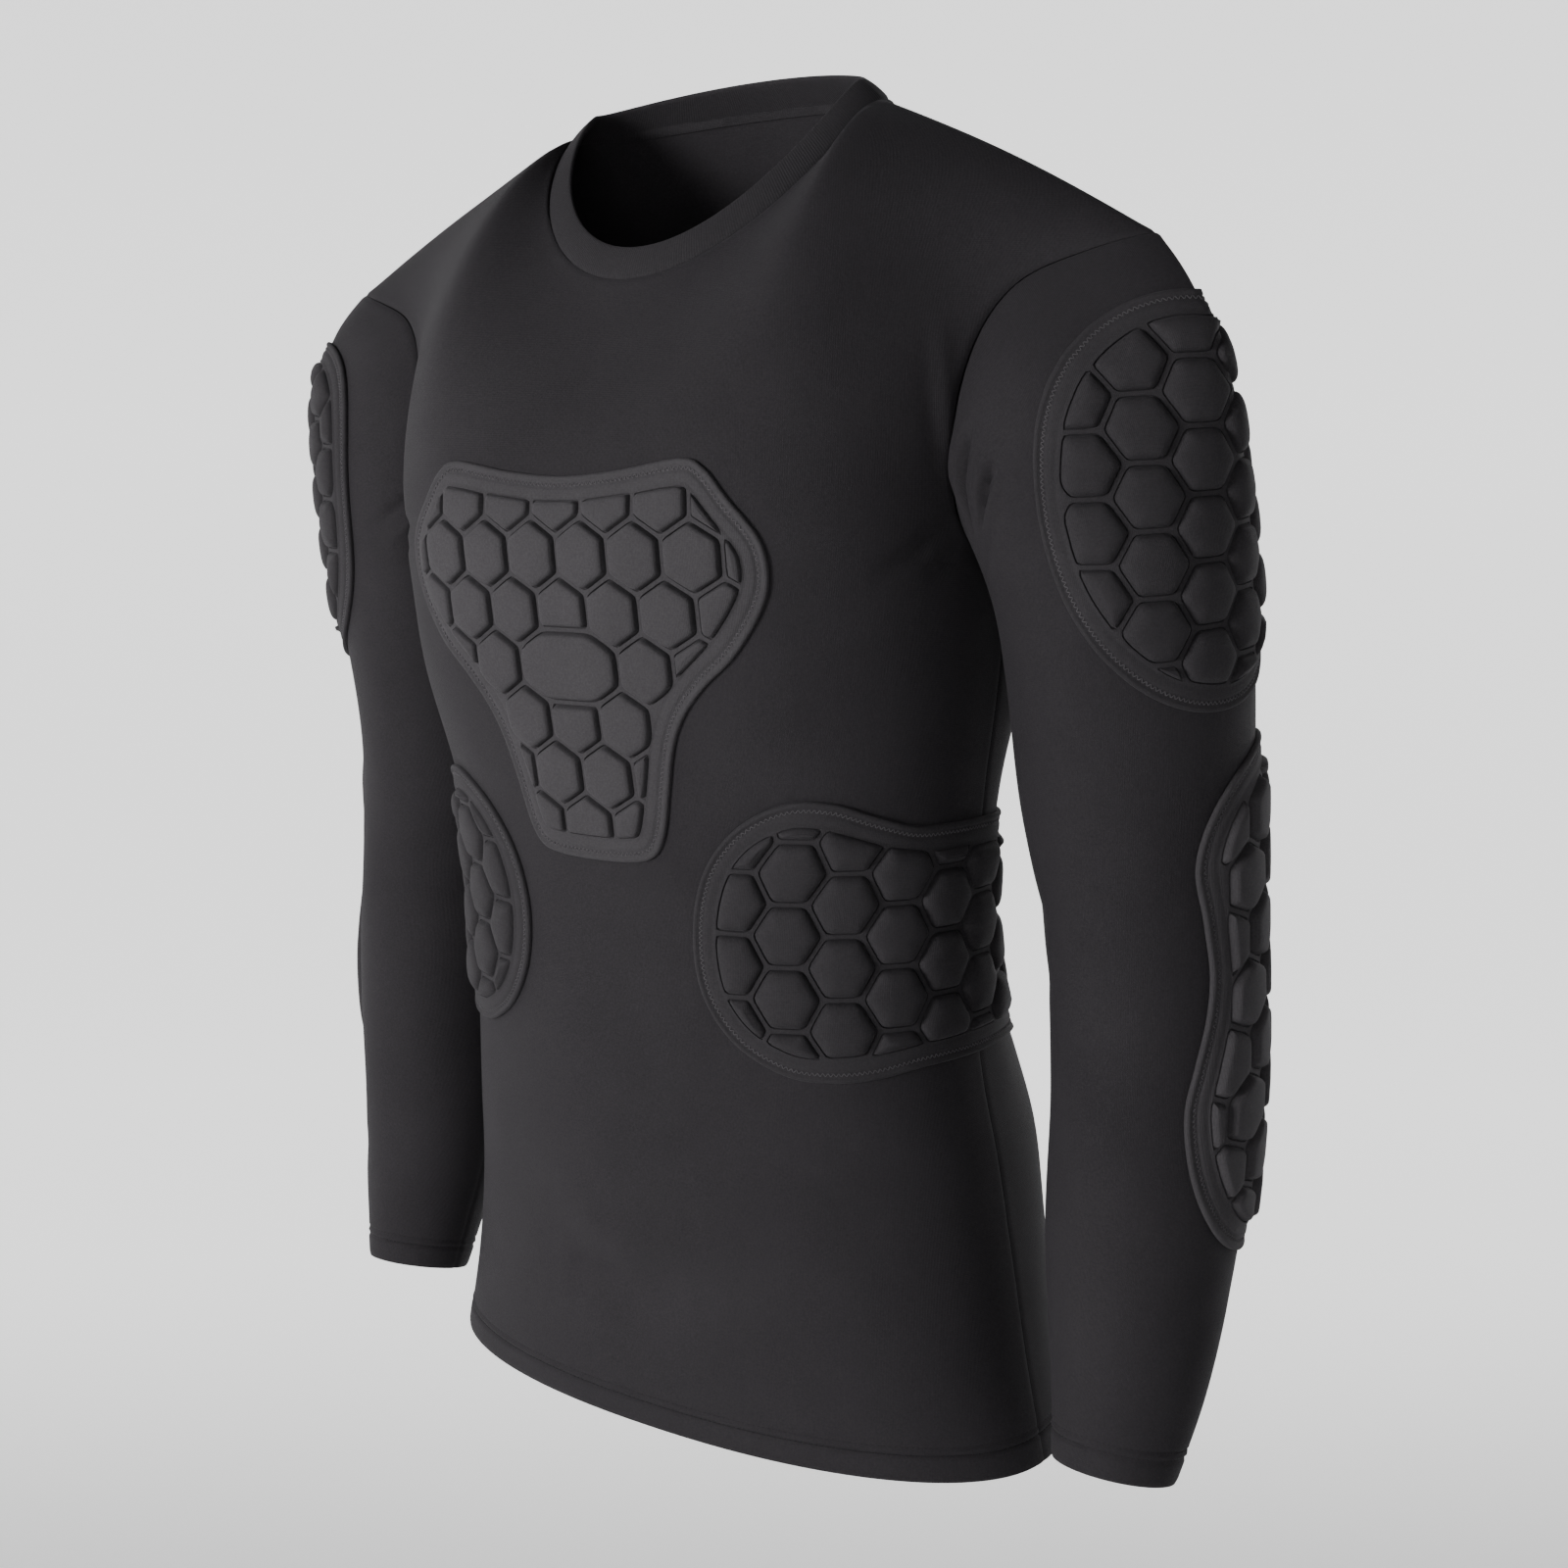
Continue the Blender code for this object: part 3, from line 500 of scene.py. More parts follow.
@dataclass
class Sheet:
    """A grid over one smooth surface, with the flattened coordinates of its points."""

    surface: Surface
    u: Array
    v: Array
    plane: Array
    outward: float
    creases: tuple[Crease, ...] = ()
    step: float = 1e-3

    def relief(self, flat: Array) -> Array:
        """The sum of the creases at flattened points.

        Args:
            flat: flattened points, (n, 2).

        Returns:
            One height for each point.
        """
        total = np.zeros(len(flat))
        for crease in self.creases:
            total += crease.relief(flat)
        return total

    def normals(self, u: Array, v: Array) -> Array:
        """Outward unit normals at surface parameters.

        Args:
            u: the first parameter.
            v: the second parameter.

        Returns:
            The normals.
        """
        u0, u1 = np.clip(u - self.step, self.u[0], self.u[-1]), np.clip(u + self.step, self.u[0], self.u[-1])
        v0, v1 = np.clip(v - self.step, self.v[0], self.v[-1]), np.clip(v + self.step, self.v[0], self.v[-1])
        across = self.surface(u1, v) - self.surface(u0, v)
        up = self.surface(u, v1) - self.surface(u, v0)
        return unit(np.cross(across, up)) * self.outward

    def find(self, flat: Array) -> tuple[Array, Array]:
        """The surface parameters of flattened points.

        Args:
            flat: flattened points, (n, 2).

        Returns:
            u and v of each.
        """
        low, high = flat.min(0) - 0.02, flat.max(0) + 0.02
        rows, columns = self.plane.shape[:2]
        plane = self.plane
        corner = np.stack([plane[:-1, :-1], plane[:-1, 1:], plane[1:, 1:], plane[1:, :-1]], 2)
        near = (corner.max(2) > low).all(-1) & (corner.min(2) < high).all(-1)
        cells = np.argwhere(near)
        triangles, uv = [], []
        for i, j in cells:
            quad = [(i, j), (i, j + 1), (i + 1, j + 1), (i + 1, j)]
            for picks in ((0, 1, 2), (0, 2, 3)):
                triangles.append([plane[quad[k]] for k in picks])
                uv.append([(self.u[quad[k][1]], self.v[quad[k][0]]) for k in picks])
        triangles, uv = np.array(triangles), np.array(uv)
        a, b, c = triangles[:, 0], triangles[:, 1], triangles[:, 2]
        whole = (b - a)[:, 0] * (c - a)[:, 1] - (b - a)[:, 1] * (c - a)[:, 0]
        found = []
        for part in np.array_split(flat, max(1, len(flat) // 400)):
            d = part[:, None, :] - a
            second = (d[..., 0] * (c - a)[:, 1] - d[..., 1] * (c - a)[:, 0]) / whole
            third = ((b - a)[:, 0] * d[..., 1] - (b - a)[:, 1] * d[..., 0]) / whole
            weights = np.stack([1 - second - third, second, third], -1)
            best = np.argmax(weights.min(-1), 1)
            chosen = weights[np.arange(len(part)), best][..., None]
            found.append((uv[best] * chosen).sum(1))
        found = np.concatenate(found)
        return found[:, 0], found[:, 1]

    def place(self, flat: Array, height: Array | float) -> Array:
        """Puts flattened points on the cloth.

        Args:
            flat: flattened points, (n, 2).
            height: how far out of the cloth each lies.

        Returns:
            Points in the row frame.
        """
        u, v = self.find(flat)
        u, v = np.clip(u, self.u[0], self.u[-1]), np.clip(v, self.v[0], self.v[-1])
        out = self.relief(flat) + height
        return self.surface(u, v) + self.normals(u, v) * out[:, None]


def arc_lengths(points: Array, axis: int) -> Array:
    """The way along a grid's rows or columns from its first point.

    Args:
        points: the grid, (rows, columns, 3).
        axis: 0 for the way up the columns, 1 for the way along the rows.

    Returns:
        One length for each grid point.
    """
    steps = np.linalg.norm(np.diff(points, axis=axis), axis=-1)
    start = np.zeros_like(np.take(steps, [0], axis=axis))
    return np.concatenate([start, np.cumsum(steps, axis=axis)], axis=axis)


def panel_sheet(torso: TorsoForm, facing: Facing, shares: Array, rows: Array,
                creases: tuple[Crease, ...]) -> Sheet:
    """The front or the back, flattened along its rows from the middle.

    Args:
        torso: the torso's form.
        facing: front or back.
        shares: the grid's columns.
        rows: the grid's rows.
        creases: the creases of that panel.

    Returns:
        The sheet.
    """
    def surface(u: Array, v: Array) -> Array:
        """The panel's surface."""
        return torso.surface(u, v, facing)

    points = surface(shares[None, :], rows[:, None])
    along = arc_lengths(points, 1)
    along -= along[:, len(shares) // 2, None]
    return Sheet(surface, shares, rows, np.stack([along, points[..., 2]], -1), -facing.value, creases)


def side_sheet(torso: TorsoForm) -> Sheet:
    """The left side below the armhole, flattened from the side seam.

    Args:
        torso: the filled-out torso.

    Returns:
        The sheet that the rib pad lies on.
    """
    turns, rows = np.linspace(0, 2, 49), np.linspace(0, 1, 40)
    points = torso.side(turns[None, :], rows[:, None])
    along = arc_lengths(points, 1)
    along -= along[:, len(turns) // 2, None]
    return Sheet(torso.side, turns, rows, np.stack([along, points[..., 2]], -1), 1.0)


def sleeve_sheet(arm: ArmForm, turns: Array, rows: Array, creases: tuple[Crease, ...]) -> Sheet:
    """The left sleeve cut open at the underarm, flattened from its outer side and the biceps.

    Args:
        arm: the filled-out sleeve.
        turns: the columns, 0 to 1 round the arm.
        rows: 0 at the armhole, 1 at the biceps, 2 at the cuff.
        creases: creases in flattened coordinates.

    Returns:
        The sheet.
    """
    points = arm.surface(turns[None, :], rows[:, None])
    along = arc_lengths(points, 1)
    along -= along[:, len(turns) // 2, None]
    down = arc_lengths(points, 0)
    down -= down[int(np.argmin(np.abs(rows - 1)))]
    return Sheet(arm.surface, turns, rows, np.stack([along, -down], -1), -1.0, creases)


# Meshes


@dataclass
class Piece:
    """The points, faces and flattened coordinates of one mesh."""

    points: Array
    faces: list[tuple[int, ...]]
    flat: Array
    flat_faces: list[tuple[int, ...]]

    @staticmethod
    def joined(parts: Sequence["Piece"]) -> "Piece":
        """Several pieces as one.

        Args:
            parts: the pieces.

        Returns:
            The one piece.
        """
        points, faces, flat, flat_faces = [], [], [], []
        shift, flat_shift = 0, 0
        for part in parts:
            faces += [tuple(i + shift for i in f) for f in part.faces]
            flat_faces += [tuple(i + flat_shift for i in f) for f in part.flat_faces]
            points.append(part.points)
            flat.append(part.flat)
            shift += len(part.points)
            flat_shift += len(part.flat)
        return Piece(np.concatenate(points), faces, np.concatenate(flat), flat_faces)

    def mirrored(self) -> "Piece":
        """The same piece for the wearer's right side."""
        return Piece(self.points * np.array([-1, 1, 1]), [f[::-1] for f in self.faces],
                     self.flat * np.array([-1, 1]), [f[::-1] for f in self.flat_faces])

    def turned_over(self) -> "Piece":
        """The same piece with its faces the other way round."""
        return Piece(self.points, [f[::-1] for f in self.faces],
                     self.flat, [f[::-1] for f in self.flat_faces])

    def build(self, name: str, material: bpy.types.Material, slot: Slot,
              sharp: float = 60.0) -> bpy.types.Object:
        """Makes the object, and lets it ride on the shirt.

        Args:
            name: the object's name.
            material: its finish.
            slot: the record's slot for that finish; not used.
            sharp: the angle in degrees above which an edge is shaded sharp.

        Returns:
            The object.
        """
        mesh = bpy.data.meshes.new(name)
        mesh.from_pydata(self.points.tolist(), [], self.faces)
        mesh.update()
        layer = mesh.uv_layers.new(name="cloth")
        corners = np.array([i for face in self.flat_faces for i in face])
        layer.data.foreach_set("uv", self.flat[corners].astype(np.float32).ravel())
        mesh.shade_smooth()
        mesh.set_sharp_from_angle(angle=math.radians(sharp))
        mesh.materials.append(material)
        made = bpy.data.objects.new(name, mesh)
        bpy.context.scene.collection.objects.link(made)
        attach(made, "root")
        return made


def wall_piece(outer: Array, inner: Array, flat: Array, closed: bool) -> Piece:
    """A closed wall between an outer and an inner grid.

    Args:
        outer: outer points, (rows, columns, 3).
        inner: inner points of the same shape.
        flat: flattened coordinates, with one more column than the points if the wall is closed.
        closed: whether the last column joins the first.

    Returns:
        The wall, with its faces outward for a grid whose columns run to the left seen from outside.
    """
    rows, columns = outer.shape[:2]
    wide = flat.shape[1]
    spans = columns if closed else columns - 1
    shift, flat_shift = rows * columns, rows * wide
    faces, flat_faces = [], []
    for r in range(rows - 1):
        for c in range(spans):
            d = (c + 1) % columns
            quad = (r * columns + c, r * columns + d, (r + 1) * columns + d, (r + 1) * columns + c)
            flat_quad = (r * wide + c, r * wide + c + 1, (r + 1) * wide + c + 1, (r + 1) * wide + c)
            faces += [quad, tuple(i + shift for i in quad[::-1])]
            flat_faces += [flat_quad, tuple(i + flat_shift for i in flat_quad[::-1])]
    index = np.arange(rows * columns).reshape(rows, columns)
    flat_index = np.arange(rows * wide).reshape(rows, wide)
    if closed:
        index = np.concatenate([index, index[:, :1]], 1)
    rims = [(index[0], flat_index[0]), (index[-1][::-1], flat_index[-1][::-1])]
    if not closed:
        rims += [(index[::-1, 0], flat_index[::-1, 0]), (index[:, -1], flat_index[:, -1])]
    for rim, flat_rim in rims:
        for k in range(len(rim) - 1):
            a, b = int(rim[k]), int(rim[k + 1])
            fa, fb = int(flat_rim[k]), int(flat_rim[k + 1])
            faces.append((b, a, a + shift, b + shift))
            flat_faces.append((fb, fa, fa + flat_shift, fb + flat_shift))
    points = np.concatenate([outer.reshape(-1, 3), inner.reshape(-1, 3)])
    both = np.concatenate([flat.reshape(-1, 2), flat.reshape(-1, 2)])
    return Piece(points, faces, both, flat_faces)


# Sewing


@dataclass(frozen=True)
class Thread:
    """Sewing thread that lies on the cloth in single stitches."""

    radius: float = 0.24 * MM
    sides: int = 4
    sink: float = 0.25 * MM

    def stitches(self, sheet: Sheet, starts: Array, ends: Array, height: Array | float) -> Piece:
        """One short arched tube for each stitch.

        Args:
            sheet: the cloth that the stitches lie on.
            starts: flattened starts, (n, 2).
            ends: flattened ends, (n, 2).
            height: how high the cloth's top side is there.

        Returns:
            All the stitches as one piece.
        """
        count = len(starts)
        shares = np.array([0.0, 0.28, 0.72, 1.0])
        lifts = np.array([-self.sink, self.radius * 0.7, self.radius * 0.7, -self.sink])
        flat = starts[:, None] + (ends - starts)[:, None] * shares[None, :, None]
        lift = lifts[None, :] + np.zeros((count, 1)) + np.reshape(height, (-1, 1))
        line = sheet.place(flat.reshape(-1, 2), lift.reshape(-1)).reshape(count, 4, 3)
        above = sheet.place(flat[:, 1], lift[:, 1] + MM)
        up = unit(above - line[:, 1])
        ahead = unit(line[:, 3] - line[:, 0])
        across = unit(np.cross(ahead, up))
        rings = []
        for k in range(self.sides):
            angle = 2 * math.pi * (k + 0.5) / self.sides
            rings.append(line + self.radius * (math.cos(angle) * across + math.sin(angle) * up)[:, None])
        points = np.stack(rings, 2).reshape(-1, 3)
        faces = []
        for s in range(count):
            for r in range(3):
                base = (s * 4 + r) * self.sides
                for k in range(self.sides):
                    n = (k + 1) % self.sides
                    faces.append((base + n, base + k, base + self.sides + k, base + self.sides + n))
        coordinates = np.repeat(flat.reshape(-1, 2), self.sides, axis=0)
        return Piece(points, faces, coordinates, faces)


def along_loop(loop: Array, pitch: float) -> tuple[Array, Array]:
    """Evenly spaced points on a closed line.

    Args:
        loop: the line's corners, (n, 2).
        pitch: the wanted spacing.

    Returns:
        The points, and the directions across the line, to its left.
    """
    closed = np.concatenate([loop, loop[:1]])
    length = np.concatenate([[0], np.cumsum(np.linalg.norm(np.diff(closed, axis=0), axis=1))])
    count = 2 * max(4, round(length[-1] / pitch / 2))
    at = np.linspace(0, length[-1], count, endpoint=False)
    points = np.stack([np.interp(at, length, closed[:, k]) for k in (0, 1)], -1)
    ahead = unit(np.roll(points, -1, 0) - np.roll(points, 1, 0))
    return points, np.stack([-ahead[:, 1], ahead[:, 0]], -1)


# Cloth pieces


@dataclass
class Hem:
    """A turned edge held by two rows of stitches."""

    depth: float = 18 * MM
    row_gap: float = 4.2 * MM
    thickness: float = 0.5 * MM
    trough: float = 1.2 * MM
    stitch: float = 3.0 * MM

    def profile(self, distance: Array) -> Array:
        """How far the cloth stands out at a distance from the turned edge.

        Args:
            distance: distances from the turned edge.

        Returns:
            One height for each distance.
        """
        folded = self.thickness * (1 - ramp(distance, self.depth + 0.8 * MM, self.depth + 2.2 * MM))
        rows = bump(distance - self.depth, 1.0 * MM) + bump(distance - self.depth + self.row_gap, 1.0 * MM)
        edge = 0.5 * MM * bump(distance, 1.6 * MM)
        return folded - self.trough * rows - edge

    def rows(self) -> tuple[float, float]:
        """Distances of the two rows of stitches from the turned edge."""
        return self.depth, self.depth - self.row_gap


def seam_tuck(distance: Array, depth: float) -> Array:
    """The dip and the soft roll beside a sewn seam, by distance from it."""
    return -depth * bump(distance, 1.3 * MM) + 0.45 * depth * bump(distance - 3.6 * MM, 2.4 * MM)


@dataclass
class ClothShell:
    """What every jersey piece of the shirt shares."""

    wall: float = 1.5 * MM
    seam_gap: float = 0.3 * MM
    seam_depth: float = 0.6 * MM
    hem: Hem = field(default_factory=Hem)

    def shell(self, sheet: Sheet, relief: Array, closed: bool,
              tucked: Sequence[tuple[int, int, int]]) -> Piece:
        """A thin wall over the whole of a sheet.

        Args:
            sheet: the cloth's form.
            relief: how far each grid point stands out.
            closed: whether the columns join up into a tube.
            tucked: (axis, border, neighbour) of each sewn border, which is moved in by the seam's gap.

        Returns:
            The wall.
        """
        u, v = np.broadcast_arrays(sheet.u[None, :], sheet.v[:, None])
        normals = sheet.normals(u, v)
        outer = sheet.surface(u, v) + normals * relief[..., None]
        for axis, border, neighbour in tucked:
            grid = np.moveaxis(outer, axis, 0)
            grid[border] += unit(grid[neighbour] - grid[border]) * self.seam_gap / 2
        inner = outer - normals * self.wall
        if closed:
            normals[:, 0] = normals[:, -1] = unit(normals[:, 0] + normals[:, -1])
            inner = outer - normals * self.wall
            outer, inner = outer[:, :-1], inner[:, :-1]
        return wall_piece(outer, inner, sheet.plane, closed)


def rows_with_hem(length: float, fine: float, coarse: float, hem_zone: float) -> Array:
    """Shares of a length, close together over the hem and wider apart beyond it.

    Args:
        length: the whole length in metres, measured from the hem.
        fine: spacing over the hem.
        coarse: spacing beyond it.
        hem_zone: how far the fine spacing reaches.

    Returns:
        Rising shares from 0 to 1.
    """
    near = np.arange(0, hem_zone, fine)
    count = max(2, round((length - hem_zone) / coarse))
    return np.concatenate([near, np.linspace(hem_zone, length, count + 1)]) / length


@dataclass
class Panel(ClothShell):
    """The front or the back of the shirt."""

    torso: TorsoForm = field(default_factory=TorsoForm)
    facing: Facing = Facing.FRONT
    cut: tuple[float, float] = (0.62, 0.74)
    cut_area: float = 0.31

    @property
    def name(self) -> str:
        """The name of the solid that this piece replaces."""
        return self.facing.name.lower()

    def creases(self) -> tuple[Crease, ...]:
        """The panel's creases in flattened coordinates, x from the middle and y up.

        Returns:
            The creases.
        """
        front = (
            Crease(((0.2045, -0.120), (0.2050, -0.150), (0.2085, -0.180)), 5.0 * MM, 1.9 * MM),
            Crease(((0.1970, -0.125), (0.1975, -0.150), (0.2010, -0.180)), 4.5 * MM, -0.8 * MM),
            Crease(((-0.2045, -0.128), (-0.2050, -0.150), (-0.2085, -0.176)), 5.5 * MM, 1.1 * MM),
            Crease(((-0.212, -0.196), (-0.182, -0.208), (-0.146, -0.212), (-0.120, -0.211)),
                   5.0 * MM, -3.0 * MM),
            Crease(((-0.208, -0.206), (-0.176, -0.219), (-0.140, -0.2225)), 4.2 * MM, -2.6 * MM),
            Crease(((-0.210, -0.176), (-0.180, -0.196), (-0.150, -0.203)), 8.0 * MM, -2.4 * MM),
            Crease(((-0.200, -0.2135), (-0.170, -0.2265)), 4.0 * MM, 1.8 * MM),
            Crease(((0.214, -0.205), (0.190, -0.222), (0.168, -0.232)), 5.0 * MM, -2.4 * MM),
            Crease(((0.216, -0.216), (0.196, -0.236)), 4.2 * MM, -1.9 * MM),
            Crease(((-0.055, -0.612), (-0.01, -0.618), (0.035, -0.612)), 17.0 * MM, -5.5 * MM),
            Crease(((-0.06, -0.575), (0.0, -0.582), (0.05, -0.574)), 20.0 * MM, 1.2 * MM),
            Crease(((-0.004, -0.3795), (0.004, -0.3835), (0.012, -0.3805)), 2.2 * MM, 0.8 * MM),
        )
        back = (
            Crease(((-0.20, -0.19), (-0.16, -0.214), (-0.12, -0.222)), 8.0 * MM, -1.6 * MM),
            Crease(((0.20, -0.19), (0.16, -0.214), (0.12, -0.222)), 8.0 * MM, -1.6 * MM),
            Crease(((-0.09, -0.455), (-0.03, -0.448), (0.04, -0.452), (0.10, -0.461)), 9.0 * MM, -2.0 * MM),
            Crease(((-0.07, -0.432), (0.0, -0.427), (0.06, -0.433)), 8.0 * MM, 1.4 * MM),
            Crease(((-0.05, -0.405), (0.02, -0.408), (0.08, -0.401)), 9.0 * MM, -1.5 * MM),
            Crease(((-0.11, -0.497), (-0.05, -0.484), (0.01, -0.488)), 8.0 * MM, -1.2 * MM),
        )
        return front if self.facing is Facing.FRONT else back

    def sheet(self) -> Sheet:
        """The panel's grid, with narrow columns beside its seams.

        Returns:
            The sheet.
        """
        middle = np.linspace(-0.975, 0.975, 109)
        shares = np.concatenate([[-1, -0.9965, -0.992, -0.984], middle, [0.984, 0.992, 0.9965, 1]])
        body = rows_with_hem(self.torso.underarm_z - self.torso.hem_z, 1.25 * MM, 4.3 * MM, 26 * MM)
        upper = 1 + np.linspace(0, 1, 63)[1:-3]
        rows = np.concatenate([body, upper, [1.965, 1.98, 1.991, 2.0]])
        return panel_sheet(self.torso, self.facing, shares, rows, self.creases())

    def relief(self, sheet: Sheet) -> Array:
        """Hem, seams and creases of the panel at each grid point.

        Args:
            sheet: the panel's grid.

        Returns:
            One height for each grid point.
        """
        flat = sheet.plane
        edge = np.minimum(flat[..., 0] - flat[:, :1, 0], flat[:, -1:, 0] - flat[..., 0])
        points = sheet.surface(sheet.u[None, :], sheet.v[:, None])
        rise = arc_lengths(points, 0)
        top = rise[-1:] - rise
        above = (sheet.v >= 1)[:, None]
        side = np.where(above, self.seam_depth, 0.5 * self.seam_depth) * seam_tuck(edge, 1.0)
        made = side + seam_tuck(top, self.seam_depth * 0.8)
        made += self.hem.profile(flat[..., 1] - self.torso.hem_z) * (flat[..., 1] < self.torso.hem_z + 0.04)
        return made + sheet.relief(flat.reshape(-1, 2)).reshape(made.shape)

    def build(self, material: bpy.types.Material) -> bpy.types.Object:
        """Makes the panel.

        Args:
            material: the jersey finish.

        Returns:
            The object.
        """
        sheet = self.sheet()
        tucked = [(0, -1, -2), (1, 0, 1), (1, -1, -2)]
        piece = self.shell(sheet, self.relief(sheet), False, tucked)
        if self.facing is Facing.BACK:
            piece = piece.turned_over()
        made = piece.build(self.name + "_cloth", material, Slot.JERSEY)
        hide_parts(self.name)
        return made

    def stitching(self, thread: Thread) -> Piece:
        """The two rows of stitches along the hem.

        Args:
            thread: the sewing thread.

        Returns:
            The stitches.
        """
        sheet = self.sheet()
        parts = []
        for distance in self.hem.rows():
            z = self.torso.hem_z + distance
            row = int(np.argmin(np.abs(sheet.plane[:, 0, 1] - z)))
            left, right = sheet.plane[row, 0, 0] + 1.5 * MM, sheet.plane[row, -1, 0] - 1.5 * MM
            xs = np.arange(left, right - self.hem.stitch, self.hem.stitch)
            starts = np.stack([xs, 0 * xs + z], -1)
            ends = starts + np.array([self.hem.stitch * 0.8, 0.0])
            parts.append(thread.stitches(sheet, starts, ends, self.hem.thickness - self.hem.trough * 0.9))
        return Piece.joined(parts)


@dataclass
class Sleeve(ClothShell):
    """One set-in sleeve."""

    arm: ArmForm = field(default_factory=lambda: ArmForm(TorsoForm()))
    side: Side = Side.LEFT
    cut: tuple[float, float] = (0.44, 0.62)
    cut_area: float = 0.19

    def creases(self) -> tuple[Crease, ...]:
        """The sleeve's creases in flattened coordinates, x from the outer side and y up the arm.

        Returns:
            The creases.
        """
        near = (
            Crease(((-0.1015, 0.126), (-0.116, 0.111), (-0.128, 0.097), (-0.1335, 0.0825), (-0.137, 0.068)),
                   2.4 * MM, -5.6 * MM),
            Crease(((-0.1085, 0.129), (-0.1225, 0.115), (-0.135, 0.100), (-0.141, 0.083)),
                   3.8 * MM, 3.2 * MM),
            Crease(((-0.0915, 0.109), (-0.103, 0.095), (-0.113, 0.0845), (-0.1225, 0.072)),
                   2.2 * MM, -4.0 * MM),
            Crease(((-0.0980, 0.112), (-0.1085, 0.0985), (-0.118, 0.088)), 2.8 * MM, 2.0 * MM),
            Crease(((-0.096, 0.085), (-0.112, 0.066), (-0.128, 0.050)), 5.0 * MM, -1.2 * MM),
        )
        far = (
            Crease(((-0.150, 0.100), (-0.122, 0.083), (-0.098, 0.071)), 4.5 * MM, -1.6 * MM),
            Crease(((-0.152, 0.088), (-0.128, 0.069), (-0.106, 0.060)), 4.0 * MM, 1.1 * MM),
            Crease(((-0.145, 0.066), (-0.120, 0.048)), 5.0 * MM, -1.0 * MM),
        )
        both = (
            Crease(((-0.150, -0.105), (-0.110, -0.128), (-0.075, -0.133)), 9.0 * MM, -1.1 * MM),
            Crease(((-0.148, -0.150), (-0.105, -0.163)), 9.0 * MM, -0.9 * MM),
            Crease(((0.150, 0.090), (0.120, 0.066), (0.095, 0.052)), 6.0 * MM, -1.6 * MM),
            Crease(((0.155, 0.070), (0.128, 0.044)), 5.0 * MM, -1.2 * MM),
            Crease(((-0.06, -0.318), (-0.02, -0.330), (0.03, -0.327)), 10.0 * MM, -0.7 * MM),
        )
        return both + (near if self.side is Side.LEFT else far)

    def sheet(self) -> Sheet:
        """The sleeve's grid, with narrow rows beside the armhole and at the cuff.

        Returns:
            The sheet.
        """
        turns = np.concatenate([np.linspace(0, 0.22, 52)[:-1], np.linspace(0.22, 0.78, 57)[:-1],
                                np.linspace(0.78, 1, 40)])
        cap = np.concatenate([[0, 0.006, 0.014, 0.026, 0.042], np.linspace(0.065, 1, 58)])
        arm = 2 - rows_with_hem(self.arm.biceps_z - self.arm.cuff_z, 1.25 * MM, 4.3 * MM, 26 * MM)[::-1]
        return sleeve_sheet(self.arm, turns, np.concatenate([cap, arm[1:]]), self.creases())

    def relief(self, sheet: Sheet) -> Array:
        """Cuff, seams and creases of the sleeve at each grid point.

        Args:
            sheet: the sleeve's grid.

        Returns:
            One height for each grid point.
        """
        points = sheet.surface(sheet.u[None, :], sheet.v[:, None])
        down = arc_lengths(points, 0)
        made = seam_tuck(down, self.seam_depth)
        from_cuff = down[-1:] - down
        made += self.hem.profile(from_cuff) * (from_cuff < 0.04)
        across = sheet.plane[..., 0]
        from_seam = np.minimum(across - across[:, :1], across[:, -1:] - across)
        made += 0.5 * seam_tuck(from_seam, self.seam_depth)
        return made + sheet.relief(sheet.plane.reshape(-1, 2)).reshape(made.shape)

    def build(self, material: bpy.types.Material) -> bpy.types.Object:
        """Makes the sleeve.

        Args:
            material: the jersey finish.

        Returns:
            The object.
        """
        sheet = self.sheet()
        piece = self.shell(sheet, self.relief(sheet), True, [(0, 0, 1)]).turned_over()
        if self.side is Side.RIGHT:
            piece = piece.mirrored()
        made = piece.build("sleeve_cloth" + self.side.suffix, material, Slot.JERSEY)
        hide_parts("sleeve" + self.side.suffix)
        return made

    def stitching(self, thread: Thread) -> Piece:
        """The two rows of stitches round the cuff.

        Args:
            thread: the sewing thread.

        Returns:
            The stitches.
        """
        sheet = self.sheet()
        parts = []
        for distance in self.hem.rows():
            line = []
            for column in range(sheet.plane.shape[1]):
                down = sheet.plane[:, column, 1]
                y = down[-1] + distance
                line.append((np.interp(y, down[::-1], sheet.plane[::-1, column, 0]), y))
            line = np.array(line)
            length = np.concatenate([[0], np.cumsum(np.linalg.norm(np.diff(line, axis=0), axis=1))])
            at = np.arange(1.0 * MM, length[-1] - self.hem.stitch, self.hem.stitch)
            starts = np.stack([np.interp(at, length, line[:, k]) for k in (0, 1)], -1)
            at = at + self.hem.stitch * 0.8
            ends = np.stack([np.interp(at, length, line[:, k]) for k in (0, 1)], -1)
            parts.append(thread.stitches(sheet, starts, ends, self.hem.thickness - self.hem.trough * 0.9))
        made = Piece.joined(parts)
        return made.mirrored() if self.side is Side.RIGHT else made


